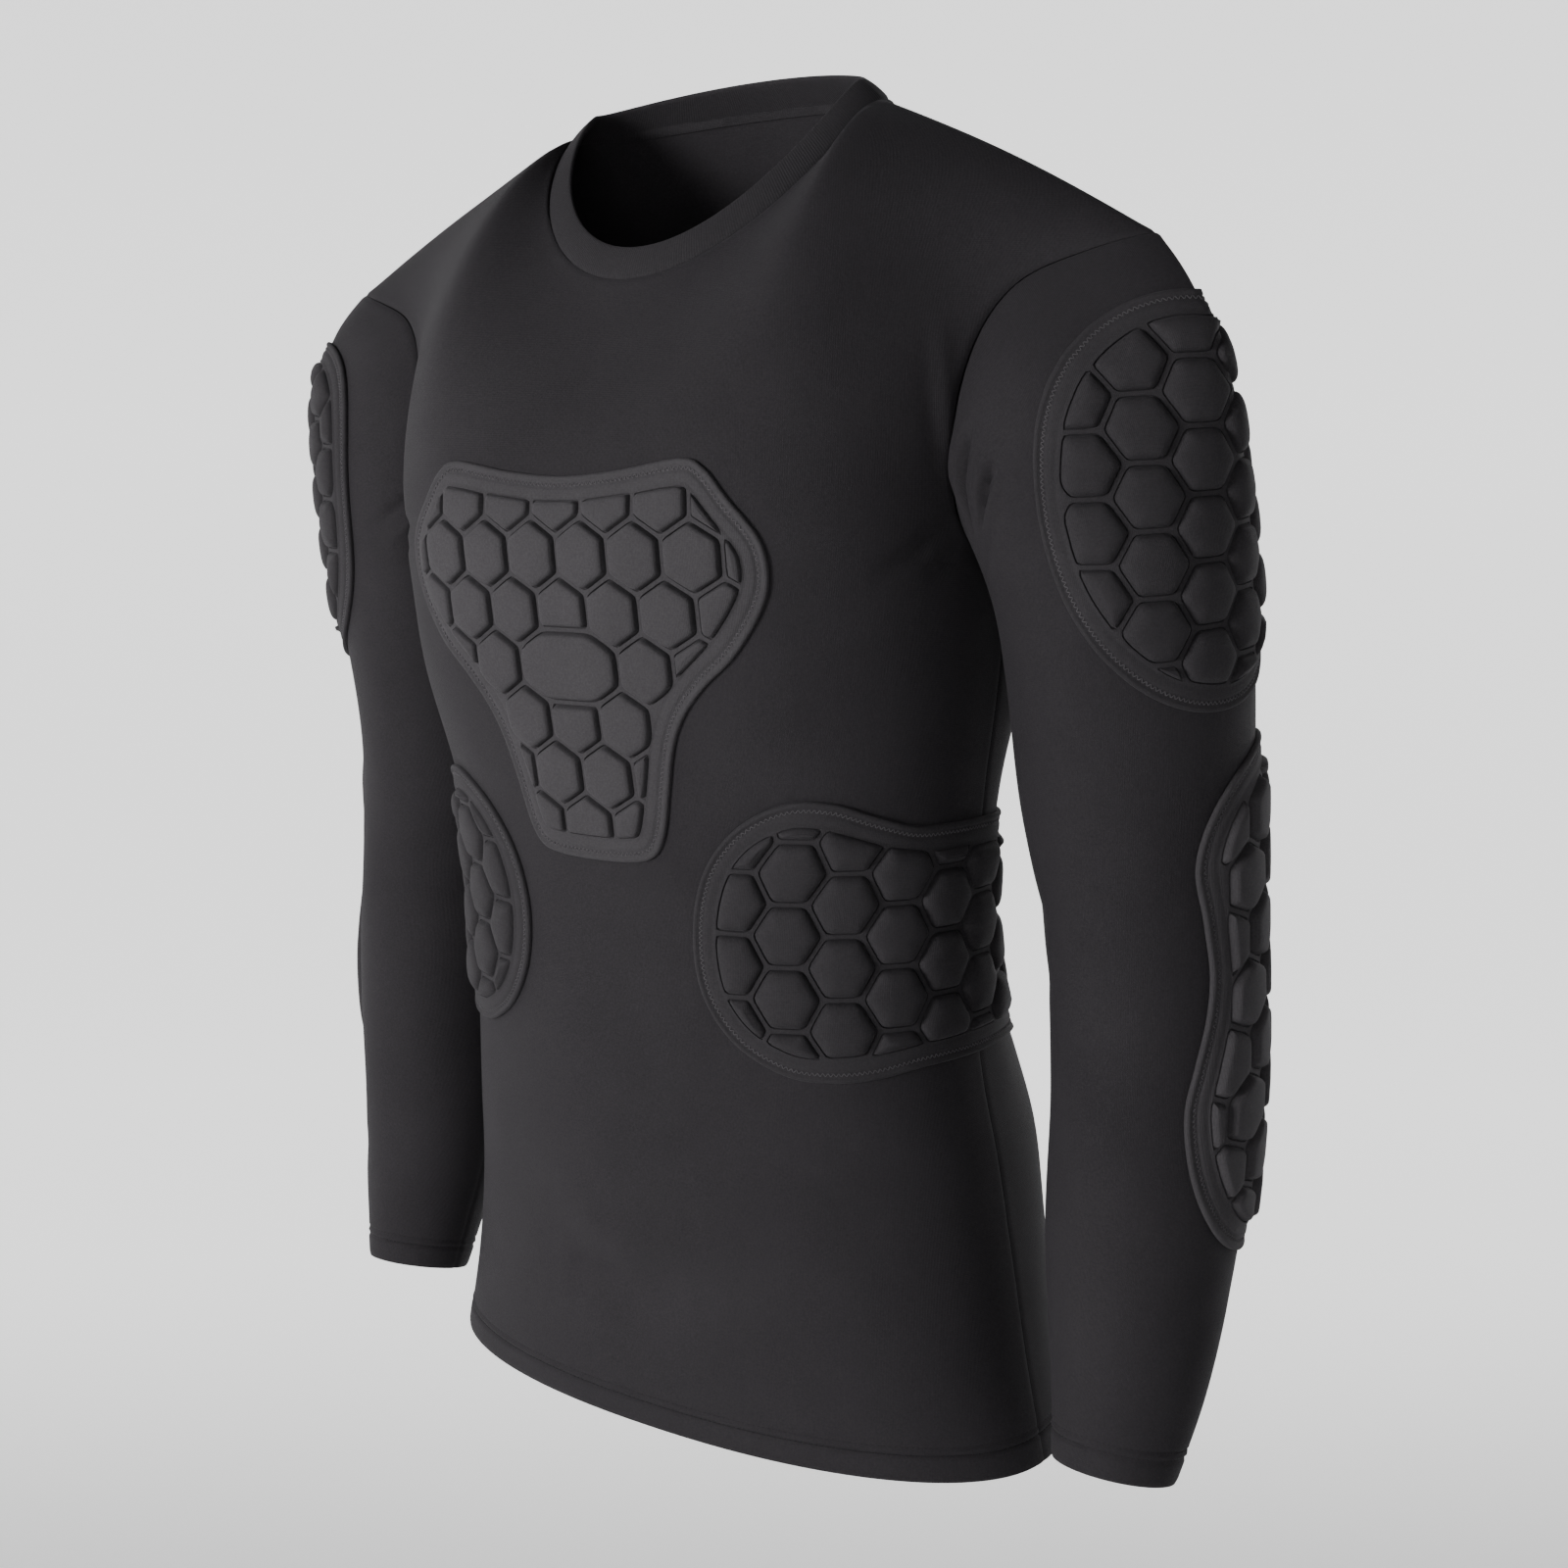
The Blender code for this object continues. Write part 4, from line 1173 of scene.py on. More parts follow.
@dataclass
class Neckband:
    """The folded band round the neckline."""

    torso: TorsoForm
    width: float = 18 * MM
    wall: float = 2.2 * MM
    swell: float = 0.8 * MM
    gap: float = 0.3 * MM
    columns: int = 220
    lean_in: float = 0.78
    front_lean: float = 0.42
    back_lean: float = 0.75
    stand: float = 0.62
    front_stand: float = 0.30
    back_stand: float = 0.10
    cut: tuple[float, float] = (0.60, 0.018)

    def build(self, material: bpy.types.Material) -> bpy.types.Object:
        """Makes the band as a soft closed fold.

        Args:
            material: the ribbed finish.

        Returns:
            The object.
        """
        half = self.columns // 2
        front_share = np.linspace(-1, 1, half, endpoint=False) * self.torso.neck_share
        back_share = np.linspace(1, -1, half, endpoint=False) * self.torso.neck_share
        seam = np.concatenate([self.torso.top_edge(front_share, Facing.FRONT)[0],
                               self.torso.top_edge(back_share, Facing.BACK)[0]])
        turn = np.concatenate([front_share, back_share]) / self.torso.neck_share * math.pi / 2
        ahead = np.cos(turn) * np.concatenate([np.ones(half), -np.ones(half)])
        lean = np.where(ahead > 0, self.front_lean, self.back_lean) * ahead
        stand = self.stand + np.where(ahead > 0, self.front_stand, self.back_stand) * ahead**2
        rise = unit(np.stack([-self.lean_in * np.sin(turn), lean, stand], -1))
        around = unit(np.roll(seam, -1, 0) - np.roll(seam, 1, 0))
        out = unit(np.cross(around, rise))
        start = self.gap * (1 + 2 * np.abs(np.sin(turn)) ** 3)
        rows = []
        for share, depth in self.section():
            reach = start + (self.width - start) * share
            rows.append(seam + rise * reach[:, None] + out * depth)
        grid = np.stack(rows + self.allowance(seam, turn, around))
        length = np.concatenate([[0], np.cumsum(np.linalg.norm(np.roll(seam, -1, 0) - seam, axis=1))])
        across = np.concatenate([[0], np.cumsum(np.linalg.norm(np.diff(grid[:, 0], axis=0), axis=1))])
        flat = np.stack(np.broadcast_arrays(length[None, :], across[:, None]), -1)
        count, columns = grid.shape[:2]
        faces, flat_faces = [], []
        for r in range(count):
            s = (r + 1) % count
            for c in range(columns):
                d = (c + 1) % columns
                faces.append((r * columns + c, r * columns + d, s * columns + d, s * columns + c))
                low, high = r * (columns + 1), min(r + 1, count - 1) * (columns + 1)
                flat_faces.append((low + c, low + c + 1, high + c + 1, high + c))
        piece = Piece(grid.reshape(-1, 3), faces, flat.reshape(-1, 2), flat_faces)
        made = piece.build("neckband_rib", material, Slot.RIB)
        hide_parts("neckband")
        return made

    def allowance(self, seam: Array, turn: Array, around: Array) -> list[Array]:
        """The seam allowance, which lies inside the shirt below the band.

        Args:
            seam: the points of the neckline.
            turn: how far round each lies, a quarter turn at the shoulder seams.
            around: directions along the neckline.

        Returns:
            The rows of points that end the band's section.
        """
        half = len(seam) // 2
        shares = turn / (math.pi / 2) * self.torso.neck_share
        down = np.concatenate([self.torso.top_edge(shares[:half], Facing.FRONT)[1],
                               self.torso.top_edge(shares[half:], Facing.BACK)[1]])
        level, sideways = np.abs(np.cos(turn))[:, None] ** 0.6, np.sin(turn)
        spread = np.stack([sideways, 0 * sideways, -0.2 * np.abs(sideways)], -1) * sideways[:, None] ** 2
        down = unit(down * level + spread)
        inward = -unit(np.cross(around, -down))
        return [seam + down * reach + inward * depth
                for reach, depth in ((0.8 * MM, 3.0 * MM), (5.0 * MM, 2.9 * MM), (5.0 * MM, 1.9 * MM),
                                     (0.6 * MM, 1.8 * MM))]

    def section(self) -> Iterator[tuple[float, float]]:
        """The band's section, as shares of its width and distances out from its middle surface."""
        for share in (0.0, 0.04, 0.10, 0.2, 0.35, 0.5, 0.65, 0.8, 0.9):
            yield share, self.swell * math.sin(math.pi * share) - 0.5 * MM * math.exp(-((share / 0.05) ** 2))
        for angle in (65, 30, 0, -30, -65):
            turned = math.radians(angle)
            yield 0.94 + 0.06 * math.cos(turned), self.wall * (0.5 * math.sin(turned) - 0.42)
        for share in (0.88, 0.7, 0.5, 0.3, 0.15, 0.05, 0.0):
            yield share, -self.wall


# Pads


@dataclass(frozen=True)
class CellStyle:
    """How the foam cells of a pad are shaped.

    rings holds (inset, height) pairs from the groove to the crown. Every size is in millimetres.
    """

    rings: tuple[tuple[float, float], ...]
    roundness: float
    crown: float


CRISP = CellStyle(((0.0, 0.0), (0.22, -1.3), (0.5, -1.5), (0.78, -0.2), (1.05, 1.5), (1.5, 2.7), (2.2, 3.2),
                   (3.4, 3.5), (5.5, 3.7), (8.0, 3.8), (11.5, 3.86)), 24.0, 3.9)
SOFT = CellStyle(((0.0, 0.0), (0.22, -1.1), (0.5, -1.25), (0.8, -0.1), (1.3, 1.3), (2.2, 2.3), (3.6, 3.1),
                  (5.5, 3.7), (8.0, 4.1), (11.5, 4.3)), 20.0, 4.35)
DEEP = CellStyle(((0.0, 0.0), (0.25, -1.3), (0.6, -1.5), (0.95, 0.1), (1.5, 1.9), (2.3, 3.3), (3.1, 4.0),
                  (3.9, 4.3), (6.0, 4.45), (10.5, 4.55)), 22.0, 4.6)


@dataclass(frozen=True)
class CellField:
    """A field of six-sided cells. point_up cells have a corner on top, the others an edge."""

    x: float
    y: float
    radius: float
    stretch: float = 1.0
    tilt: float = 0.0
    point_up: bool = True

    def centres(self) -> Iterator[tuple[int, tuple[float, float]]]:
        """Each cell's row or column number and its centre, from the field's middle."""
        wide, tall = math.sqrt(3) * self.radius, 1.5 * self.radius
        for i in range(-7, 8):
            for j in range(-6, 7):
                offset = (j + 0.5 * (i % 2)) * wide
                yield i, (offset, i * tall) if self.point_up else (i * tall, offset)

    def cell(self, centre: tuple[float, float]) -> Array:
        """One cell's corners.

        Args:
            centre: the cell's centre, before the tilt.

        Returns:
            The six corners.
        """
        angles = np.radians((90 if self.point_up else 0) + 60 * np.arange(6))
        x = np.cos(angles) * self.radius + centre[0]
        y = (np.sin(angles) * self.radius + centre[1]) * self.stretch
        c, s = math.cos(math.radians(self.tilt)), math.sin(math.radians(self.tilt))
        return np.stack([self.x + x * c - y * s, self.y + x * s + y * c], -1)

    def cells(self) -> Iterator[Array]:
        """All the cells."""
        for _, centre in self.centres():
            yield self.cell(centre)


@dataclass(frozen=True)
class ChestField(CellField):
    """The chest's cells. The two in the middle of one row are joined into a long one."""

    def cells(self) -> Iterator[Array]:
        """All the cells."""
        wide, r = math.sqrt(3) * self.radius, self.radius
        middle = np.array([self.x, self.y])
        for i, (x, y) in self.centres():
            x += 0.5 * wide if i % 2 == 0 else -0.5 * wide
            cell = self.cell((x, y))
            if i == 0 and abs(x) < wide:
                continue
            if abs(i) == 1 and abs(x) < 0.1 * wide:
                cell = half_plane(cell, middle + np.array([0, i * r]), np.array([0.0, -i]))
            yield cell
        yield middle + np.array([(wide, -r / 2), (wide, r / 2), (wide / 2, r), (-wide / 2, r),
                                 (-wide, r / 2), (-wide, -r / 2), (-wide / 2, -r), (wide / 2, -r)])


def smooth_loop(corners: Sequence[tuple[float, float]], step: float) -> Array:
    """A closed curve through corners, with points about one step apart.

    Args:
        corners: the corners in order.
        step: the wanted spacing.

    Returns:
        The points, (n, 2).
    """
    corners = np.asarray(corners, float)
    t = np.linspace(0, 1, 12, endpoint=False)[:, None]
    parts = []
    for i in range(len(corners)):
        a, b, c, d = (corners[(i + k) % len(corners)] for k in (-1, 0, 1, 2))
        parts.append(b + 0.5 * t * (c - a + t * (2 * a - 5 * b + 4 * c - d + t * (3 * (b - c) + d - a))))
    fine = np.concatenate(parts)
    closed = np.concatenate([fine, fine[:1]])
    length = np.concatenate([[0], np.cumsum(np.linalg.norm(np.diff(closed, axis=0), axis=1))])
    at = np.linspace(0, length[-1], max(12, round(length[-1] / step)), endpoint=False)
    return np.stack([np.interp(at, length, closed[:, k]) for k in (0, 1)], -1)


def moved_in(loop: Array, distance: float) -> Array:
    """A closed curve moved in by a distance, without the points that come too near to it.

    Args:
        loop: the curve, the other way round to the clock.
        distance: how far in.

    Returns:
        The inner curve.
    """
    ahead = unit(np.roll(loop, -1, 0) - np.roll(loop, 1, 0))
    inner = loop + np.stack([-ahead[:, 1], ahead[:, 0]], -1) * distance
    nearest = np.linalg.norm(inner[:, None] - loop[None], axis=-1).min(1)
    return inner[nearest > distance * 0.985]


def half_plane(shape: Array, point: Array, normal: Array) -> Array:
    """The part of a closed shape on the side of a line that its normal points away from.

    Args:
        shape: the closed shape.
        point: a point on the line.
        normal: a direction across the line.

    Returns:
        What is left of the shape.
    """
    side = (shape - point) @ normal
    made = []
    for i, here in enumerate(shape):
        after, there = side[(i + 1) % len(shape)], shape[(i + 1) % len(shape)]
        if side[i] <= 0:
            made.append(here)
        if (side[i] < 0 < after) or (after < 0 < side[i]):
            made.append(here + (there - here) * side[i] / (side[i] - after))
    return np.array(made).reshape(-1, 2)


def clipped(shape: Array, cell: Array, shrink: float) -> Array:
    """The part of a shape inside a convex cell, less a margin.

    Args:
        shape: the closed shape.
        cell: the convex cell.
        shrink: the margin.

    Returns:
        What is left of the shape.
    """
    for a, b in zip(cell, np.roll(cell, -1, 0)):
        if len(shape) < 3:
            return shape
        ahead = unit(b - a)
        normal = np.array([ahead[1], -ahead[0]])
        shape = half_plane(shape, a - normal * shrink, normal)
    return shape


def area_of(shape: Array) -> float:
    """Signed area of a closed shape."""
    x, y = shape[:, 0], shape[:, 1]
    return 0.5 * float(np.sum(x * np.roll(y, -1) - y * np.roll(x, -1)))


def hull_of(points: Array) -> Array:
    """The convex hull of flat points, the other way round to the clock.

    Args:
        points: the points, (n, 2).

    Returns:
        The corners of the hull.
    """
    ordered = points[np.lexsort((points[:, 1], points[:, 0]))]
    sides = []
    for run in (ordered, ordered[::-1]):
        chain: list[Array] = []
        for p in run:
            while len(chain) > 1:
                a, b = chain[-2], chain[-1]
                if (b - a)[0] * (p - a)[1] - (b - a)[1] * (p - a)[0] > 1e-10:
                    break
                chain.pop()
            chain.append(p)
        sides += chain[:-1]
    return np.array(sides)


def centroid_of(shape: Array) -> Array:
    """The middle of a closed shape's area.

    Args:
        shape: the closed shape.

    Returns:
        The middle.
    """
    x, y = shape[:, 0], shape[:, 1]
    cross = x * np.roll(y, -1) - y * np.roll(x, -1)
    total = cross.sum() * 3
    return np.array([((x + np.roll(x, -1)) * cross).sum() / total,
                     ((y + np.roll(y, -1)) * cross).sum() / total])


def rounded(shape: Array, middle: Array, inset: float, roundness: float, count: int) -> Array:
    """A convex shape moved in, with rounded corners, as points round its middle.

    Args:
        shape: the convex shape.
        middle: its middle.
        inset: how far it is moved in.
        roundness: higher values give tighter corners.
        count: how many points it gets.

    Returns:
        The points, (count, 2).
    """
    ahead = unit(np.roll(shape, -1, 0) - shape)
    normals = np.stack([ahead[:, 1], -ahead[:, 0]], -1)
    reach = np.maximum(((shape - middle) * normals).sum(-1) - inset, 0.2 * MM)
    angles = 2 * math.pi * np.arange(count) / count
    ways = np.stack([np.cos(angles), np.sin(angles)], -1)
    facing = np.clip(ways @ normals.T, 0, None) / reach
    radius = (facing**roundness).sum(1) ** (-1 / roundness)
    return middle + ways * radius[:, None]


def closed_pairs(start: int, count: int) -> list[tuple[int, int]]:
    """Pairs of neighbours round a closed run of point numbers."""
    return [(start + i, start + (i + 1) % count) for i in range(count)]


@dataclass
class Pad:
    """A foam pad under a tight cover, sewn down along its edge.

    edge holds (inset, height) pairs in millimetres from the outline inwards, and stitch_band the
    insets between which the zigzag runs.
    """

    name: str
    outline: Sequence[tuple[float, float]]
    field: CellField
    style: CellStyle
    gap: float = 0.3 * MM
    flange: float = 12 * MM
    groove: float = 2.6 * MM
    floor_strip: float = 2.0 * MM
    smallest: float = 3.5e-5
    step: float = 2.4 * MM
    cell_points: int = 48
    edge: tuple[tuple[float, float], ...] = (
        (0.0, 1.15), (0.3, 1.85), (0.9, 2.3), (1.7, 2.45), (2.5, 2.2), (3.1, 1.75), (4.4, 1.65), (5.7, 1.7),
        (6.3, 2.1), (7.3, 2.4), (9.4, 2.45), (10.6, 2.35), (11.5, 2.4), (12.4, 2.9),
    )
    stitch_band: tuple[float, float] = (3.1, 5.8)
    zigzag: float = 1.3 * MM

    def shapes(self, loop: Array) -> list[Array]:
        """The cells that fit inside the pad's seam, as convex shapes.

        Args:
            loop: the pad's outline.

        Returns:
            One shape for each cell.
        """
        inner = moved_in(loop, self.flange)
        made = []
        for cell in self.field.cells():
            foam = clipped(inner, cell, self.groove / 2)
            if len(foam) > 2 and area_of(foam) > self.smallest:
                made.append(hull_of(clipped(inner, cell, self.floor_strip / 2)))
        return made

    def top_height(self, inset: Array) -> Array:
        """Height of the cover between the cells, by distance from the pad's edge."""
        insets, heights = np.array(self.edge).T * MM
        return np.interp(inset, insets, heights)

    def cover(self, sheet: Sheet, loop: Array) -> Piece:
        """The pad's cover: its rolled edge, the sewn channel, the grooves and the cells.

        Args:
            sheet: the cloth that it is sewn to.
            loop: the pad's outline.

        Returns:
            The top side as a piece.
        """
        cells = self.shapes(loop)
        flat, pairs, count = [], [], 0
        for inset, _ in self.edge:
            ring = loop if inset == 0 else moved_in(loop, inset * MM)
            flat.append(ring)
            pairs += closed_pairs(count, len(ring))
            count += len(ring)
        bases, shapes = [], [list(range(len(loop)))]
        for cell in cells:
            middle = centroid_of(cell)
            base = rounded(cell, middle, 0.0, self.style.roundness, self.cell_points)
            bases.append((cell, middle))
            shapes.append(list(range(count, count + len(base))))
            flat.append(base)
            count += len(base)
        top, _, faces, first, _, owners = delaunay_2d_cdt(
            [tuple(p) for p in np.concatenate(flat)], pairs, shapes, 0, 1e-7, True)
        top = np.array([tuple(p) for p in top])
        place = {old: new for new, olds in enumerate(first) for old in olds}
        distance = np.concatenate([
            np.linalg.norm(part[:, None] - loop[None], axis=-1).min(1)
            for part in np.array_split(top, max(1, len(top) // 500))])
        points = [sheet.place(top, self.gap + self.top_height(distance))]
        coordinates = [top]
        made = [tuple(f) for f, o in zip(faces, owners) if list(o) == [0]]
        total = len(top)
        for (cell, middle), shape in zip(bases, shapes[1:]):
            before = [place[i] for i in shape]
            rings, heights = self.dome(cell, middle)
            base_height = self.top_height(np.linalg.norm(loop - middle, axis=1).min())
            flat_rings = np.concatenate(rings + [middle[None]])
            lifts = np.repeat(heights[:-1], self.cell_points)
            lifts = np.append(lifts, heights[-1]) + base_height + self.gap
            points.append(sheet.place(flat_rings, lifts))
            coordinates.append(flat_rings)
            for _ in rings:
                now = list(range(total, total + self.cell_points))
                made += [(before[k - 1], before[k], now[k], now[k - 1]) for k in range(self.cell_points)]
                before, total = now, total + self.cell_points
            made += [(before[k - 1], before[k], total) for k in range(self.cell_points)]
            total += 1
        flat_all = np.concatenate(coordinates)
        return Piece(np.concatenate(points), made, flat_all, list(made))

    def dome(self, cell: Array, middle: Array) -> tuple[list[Array], Array]:
        """The rings of one cell above its base, and their heights with the crown's last.

        Args:
            cell: the cell's shape.
            middle: its middle.

        Returns:
            The rings, and one height for each ring and for the crown.
        """
        ahead = unit(np.roll(cell, -1, 0) - cell)
        normals = np.stack([ahead[:, 1], -ahead[:, 0]], -1)
        reach = ((cell - middle) * normals).sum(-1).min()
        widest = self.style.rings[-1][0] * MM * 1.02
        room = min(widest, 0.86 * reach)
        tall = min(1.0, 0.5 + 0.5 * reach / (12 * MM))
        rings, heights = [], []
        for inset, height in self.style.rings[1:]:
            shrunk = room * (1 - (1 - inset * MM / widest) ** (widest / room))
            softer = max(9.0, self.style.roundness - inset * 1.3)
            rings.append(rounded(cell, middle, shrunk, softer, self.cell_points))
            heights.append(height * MM * tall)
        return rings, np.array(heights + [self.style.crown * MM * tall])

    def underside(self, sheet: Sheet, loop: Array) -> Piece:
        """The plain inner side, whose border is the loop itself.

        Args:
            sheet: the cloth that it is sewn to.
            loop: the pad's outline.

        Returns:
            The inner side as a piece.
        """
        low, high = loop.min(0), loop.max(0)
        xs, ys = np.arange(low[0], high[0], 7 * MM), np.arange(low[1], high[1], 7 * MM)
        grid = np.stack(np.meshgrid(xs, ys), -1).reshape(-1, 2)
        inside = np.concatenate([loop, grid])
        flat, _, faces, _, _, owners = delaunay_2d_cdt(
            [tuple(p) for p in inside], [], [list(range(len(loop)))], 0, 1e-7, True)
        flat = np.array([tuple(p) for p in flat])
        kept = [tuple(reversed(f)) for f, o in zip(faces, owners) if o]
        return Piece(sheet.place(flat, self.gap), kept, flat, list(kept))

    def build(self, sheet: Sheet, material: bpy.types.Material, sides: Sequence[Side | None]) -> None:
        """Makes the pad on each side that has it.

        Args:
            sheet: the cloth that it is sewn to.
            material: the cover's finish.
            sides: the sides, or None for a pad in the middle.
        """
        loop = smooth_loop(self.outline, self.step)
        cover = self.cover(sheet, loop)
        under = self.underside(sheet, loop)
        shift = len(cover.points)
        joined = Piece.joined([cover, under])
        walls = [(shift + a, shift + b, b, a) for a, b in closed_pairs(0, len(loop))]
        joined.faces += walls
        joined.flat_faces += walls
        for side in sides:
            suffix = side.suffix if side else ""
            piece = joined.mirrored() if side is Side.RIGHT else joined
            made = piece.build(self.name + "_foam" + suffix, material, Slot.PADDING, 52.0)
            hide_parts(self.name + suffix)

    def stitching(self, sheet: Sheet, thread: Thread) -> Piece:
        """The zigzag in the channel round the pad.

        Args:
            sheet: the cloth that it is sewn to.
            thread: the sewing thread.

        Returns:
            The stitches.
        """
        loop = smooth_loop(self.outline, self.step)
        low, high = (value * MM for value in self.stitch_band)
        points, inward = along_loop(moved_in(loop, (low + high) / 2), self.zigzag)
        swing = (high - low) * 0.34 * np.where(np.arange(len(points)) % 2 == 0, 1, -1)
        corners = points + inward * swing[:, None]
        height = self.gap + self.top_height(np.array((low + high) / 2))
        return thread.stitches(sheet, corners, np.roll(corners, -1, 0), float(height) + 0.05 * MM)


def mirrored_outline(half: Sequence[tuple[float, float]], middle: float) -> list[tuple[float, float]]:
    """A whole outline from its half, given as distances out from the middle and heights.

    Args:
        half: (out, y) pairs from the top round one side to the bottom.
        middle: the x of the middle line.

    Returns:
        The corners, the other way round to the clock.
    """
    left = [(middle - out, y) for out, y in half]
    right = [(middle + out, y) for out, y in half[1:-1]]
    return left + right[::-1]


def oval_outline(middle: tuple[float, float], half_size: tuple[float, float],
                 tilt: float) -> list[tuple[float, float]]:
    """An oval outline, tilted by some degrees.

    Args:
        middle: its middle.
        half_size: half its width and half its height.
        tilt: the tilt in degrees.

    Returns:
        The corners.
    """
    c, s = math.cos(math.radians(tilt)), math.sin(math.radians(tilt))
    made = []
    for angle in np.linspace(math.pi / 2, 2.5 * math.pi, 24, endpoint=False):
        x, y = half_size[0] * math.cos(angle), half_size[1] * math.sin(angle)
        made.append((middle[0] + x * c - y * s, middle[1] + x * s + y * c))
    return made


CHEST_EDGE = (
    (0.0, -0.1865), (0.035, -0.184), (0.073, -0.1785), (0.0865, -0.183), (0.098, -0.1965), (0.1125, -0.215),
    (0.1155, -0.233), (0.110, -0.250), (0.095, -0.271), (0.077, -0.287), (0.064, -0.302), (0.056, -0.318),
    (0.050, -0.340), (0.0445, -0.362), (0.037, -0.374), (0.0235, -0.378), (0.0, -0.379),
)
RIB_EDGE = (
    (0.0, -0.356), (0.030, -0.356), (0.050, -0.3555), (0.072, -0.3495), (0.095, -0.3425), (0.118, -0.343),
    (0.140, -0.356), (0.154, -0.379), (0.158, -0.411), (0.153, -0.443), (0.137, -0.468), (0.113, -0.4825),
    (0.090, -0.4855), (0.068, -0.484), (0.040, -0.4795), (0.0, -0.4785),
)
ELBOW_EDGE = (
    (0.0, -0.050), (0.022, -0.053), (0.042, -0.061), (0.058, -0.077), (0.0655, -0.098), (0.061, -0.124),
    (0.0575, -0.150), (0.060, -0.171), (0.0665, -0.193), (0.071, -0.214), (0.067, -0.241), (0.057, -0.266),
    (0.041, -0.288), (0.021, -0.302), (0.0, -0.307),
)


# Finishes


class Graph:
    """Short ways to add nodes to one node tree."""

    def __init__(self, tree: bpy.types.NodeTree) -> None:
        """Keeps the tree."""
        self.tree = tree

    def add(self, kind: str, **settings: object) -> bpy.types.Node:
        """A new node with some of its settings.

        Args:
            kind: the node's type.
            settings: names and values of its settings.

        Returns:
            The node.
        """
        node = self.tree.nodes.new(kind)
        for name, value in settings.items():
            setattr(node, name, value)
        return node

    def feed(self, socket: bpy.types.NodeSocket, value: object) -> None:
        """Links a socket, or sets its value.

        Args:
            socket: the socket.
            value: another socket, or a plain value.
        """
        if isinstance(value, bpy.types.NodeSocket):
            self.tree.links.new(value, socket)
        else:
            socket.default_value = value

    def math(self, operation: str, *values: object) -> bpy.types.NodeSocket:
        """The result of a Math node.

        Args:
            operation: what the node works out.
            values: its inputs in order.

        Returns:
            The result.
        """
        node = self.add("ShaderNodeMath", operation=operation)
        for socket, value in zip(node.inputs, values):
            self.feed(socket, value)
        return node.outputs[0]

    def noise(self, vector: object, scale: float, detail: float, roughness: float) -> bpy.types.NodeSocket:
        """A noise value from 0 to 1.

        Args:
            vector: where the noise is read.
            scale: how fine it is.
            detail: how many finer layers it has.
            roughness: how strong those are.

        Returns:
            The noise value.
        """
        node = self.add("ShaderNodeTexNoise")
        self.feed(node.inputs["Vector"], vector)
        self.feed(node.inputs["Scale"], scale)
        node.inputs["Detail"].default_value = detail
        node.inputs["Roughness"].default_value = roughness
        return node.outputs["Fac"]


def new_group(name: str, inputs: dict[str, tuple[str, object]], outputs: dict[str, str]
              ) -> tuple[Graph, bpy.types.Node, bpy.types.Node]:
    """A shader node group with named sockets.

    Args:
        name: the group's name.
        inputs: socket name to its type and starting value.
        outputs: socket name to its type.

    Returns:
        The graph, and the nodes that hold the group's inputs and outputs.
    """
    tree = bpy.data.node_groups.new(name, "ShaderNodeTree")
    for socket_name, (kind, start) in inputs.items():
        socket = tree.interface.new_socket(name=socket_name, in_out="INPUT", socket_type=kind)
        if start is not None:
            socket.default_value = start
    for socket_name, kind in outputs.items():
        tree.interface.new_socket(name=socket_name, in_out="OUTPUT", socket_type=kind)
    graph = Graph(tree)
    return graph, graph.add("NodeGroupInput"), graph.add("NodeGroupOutput")


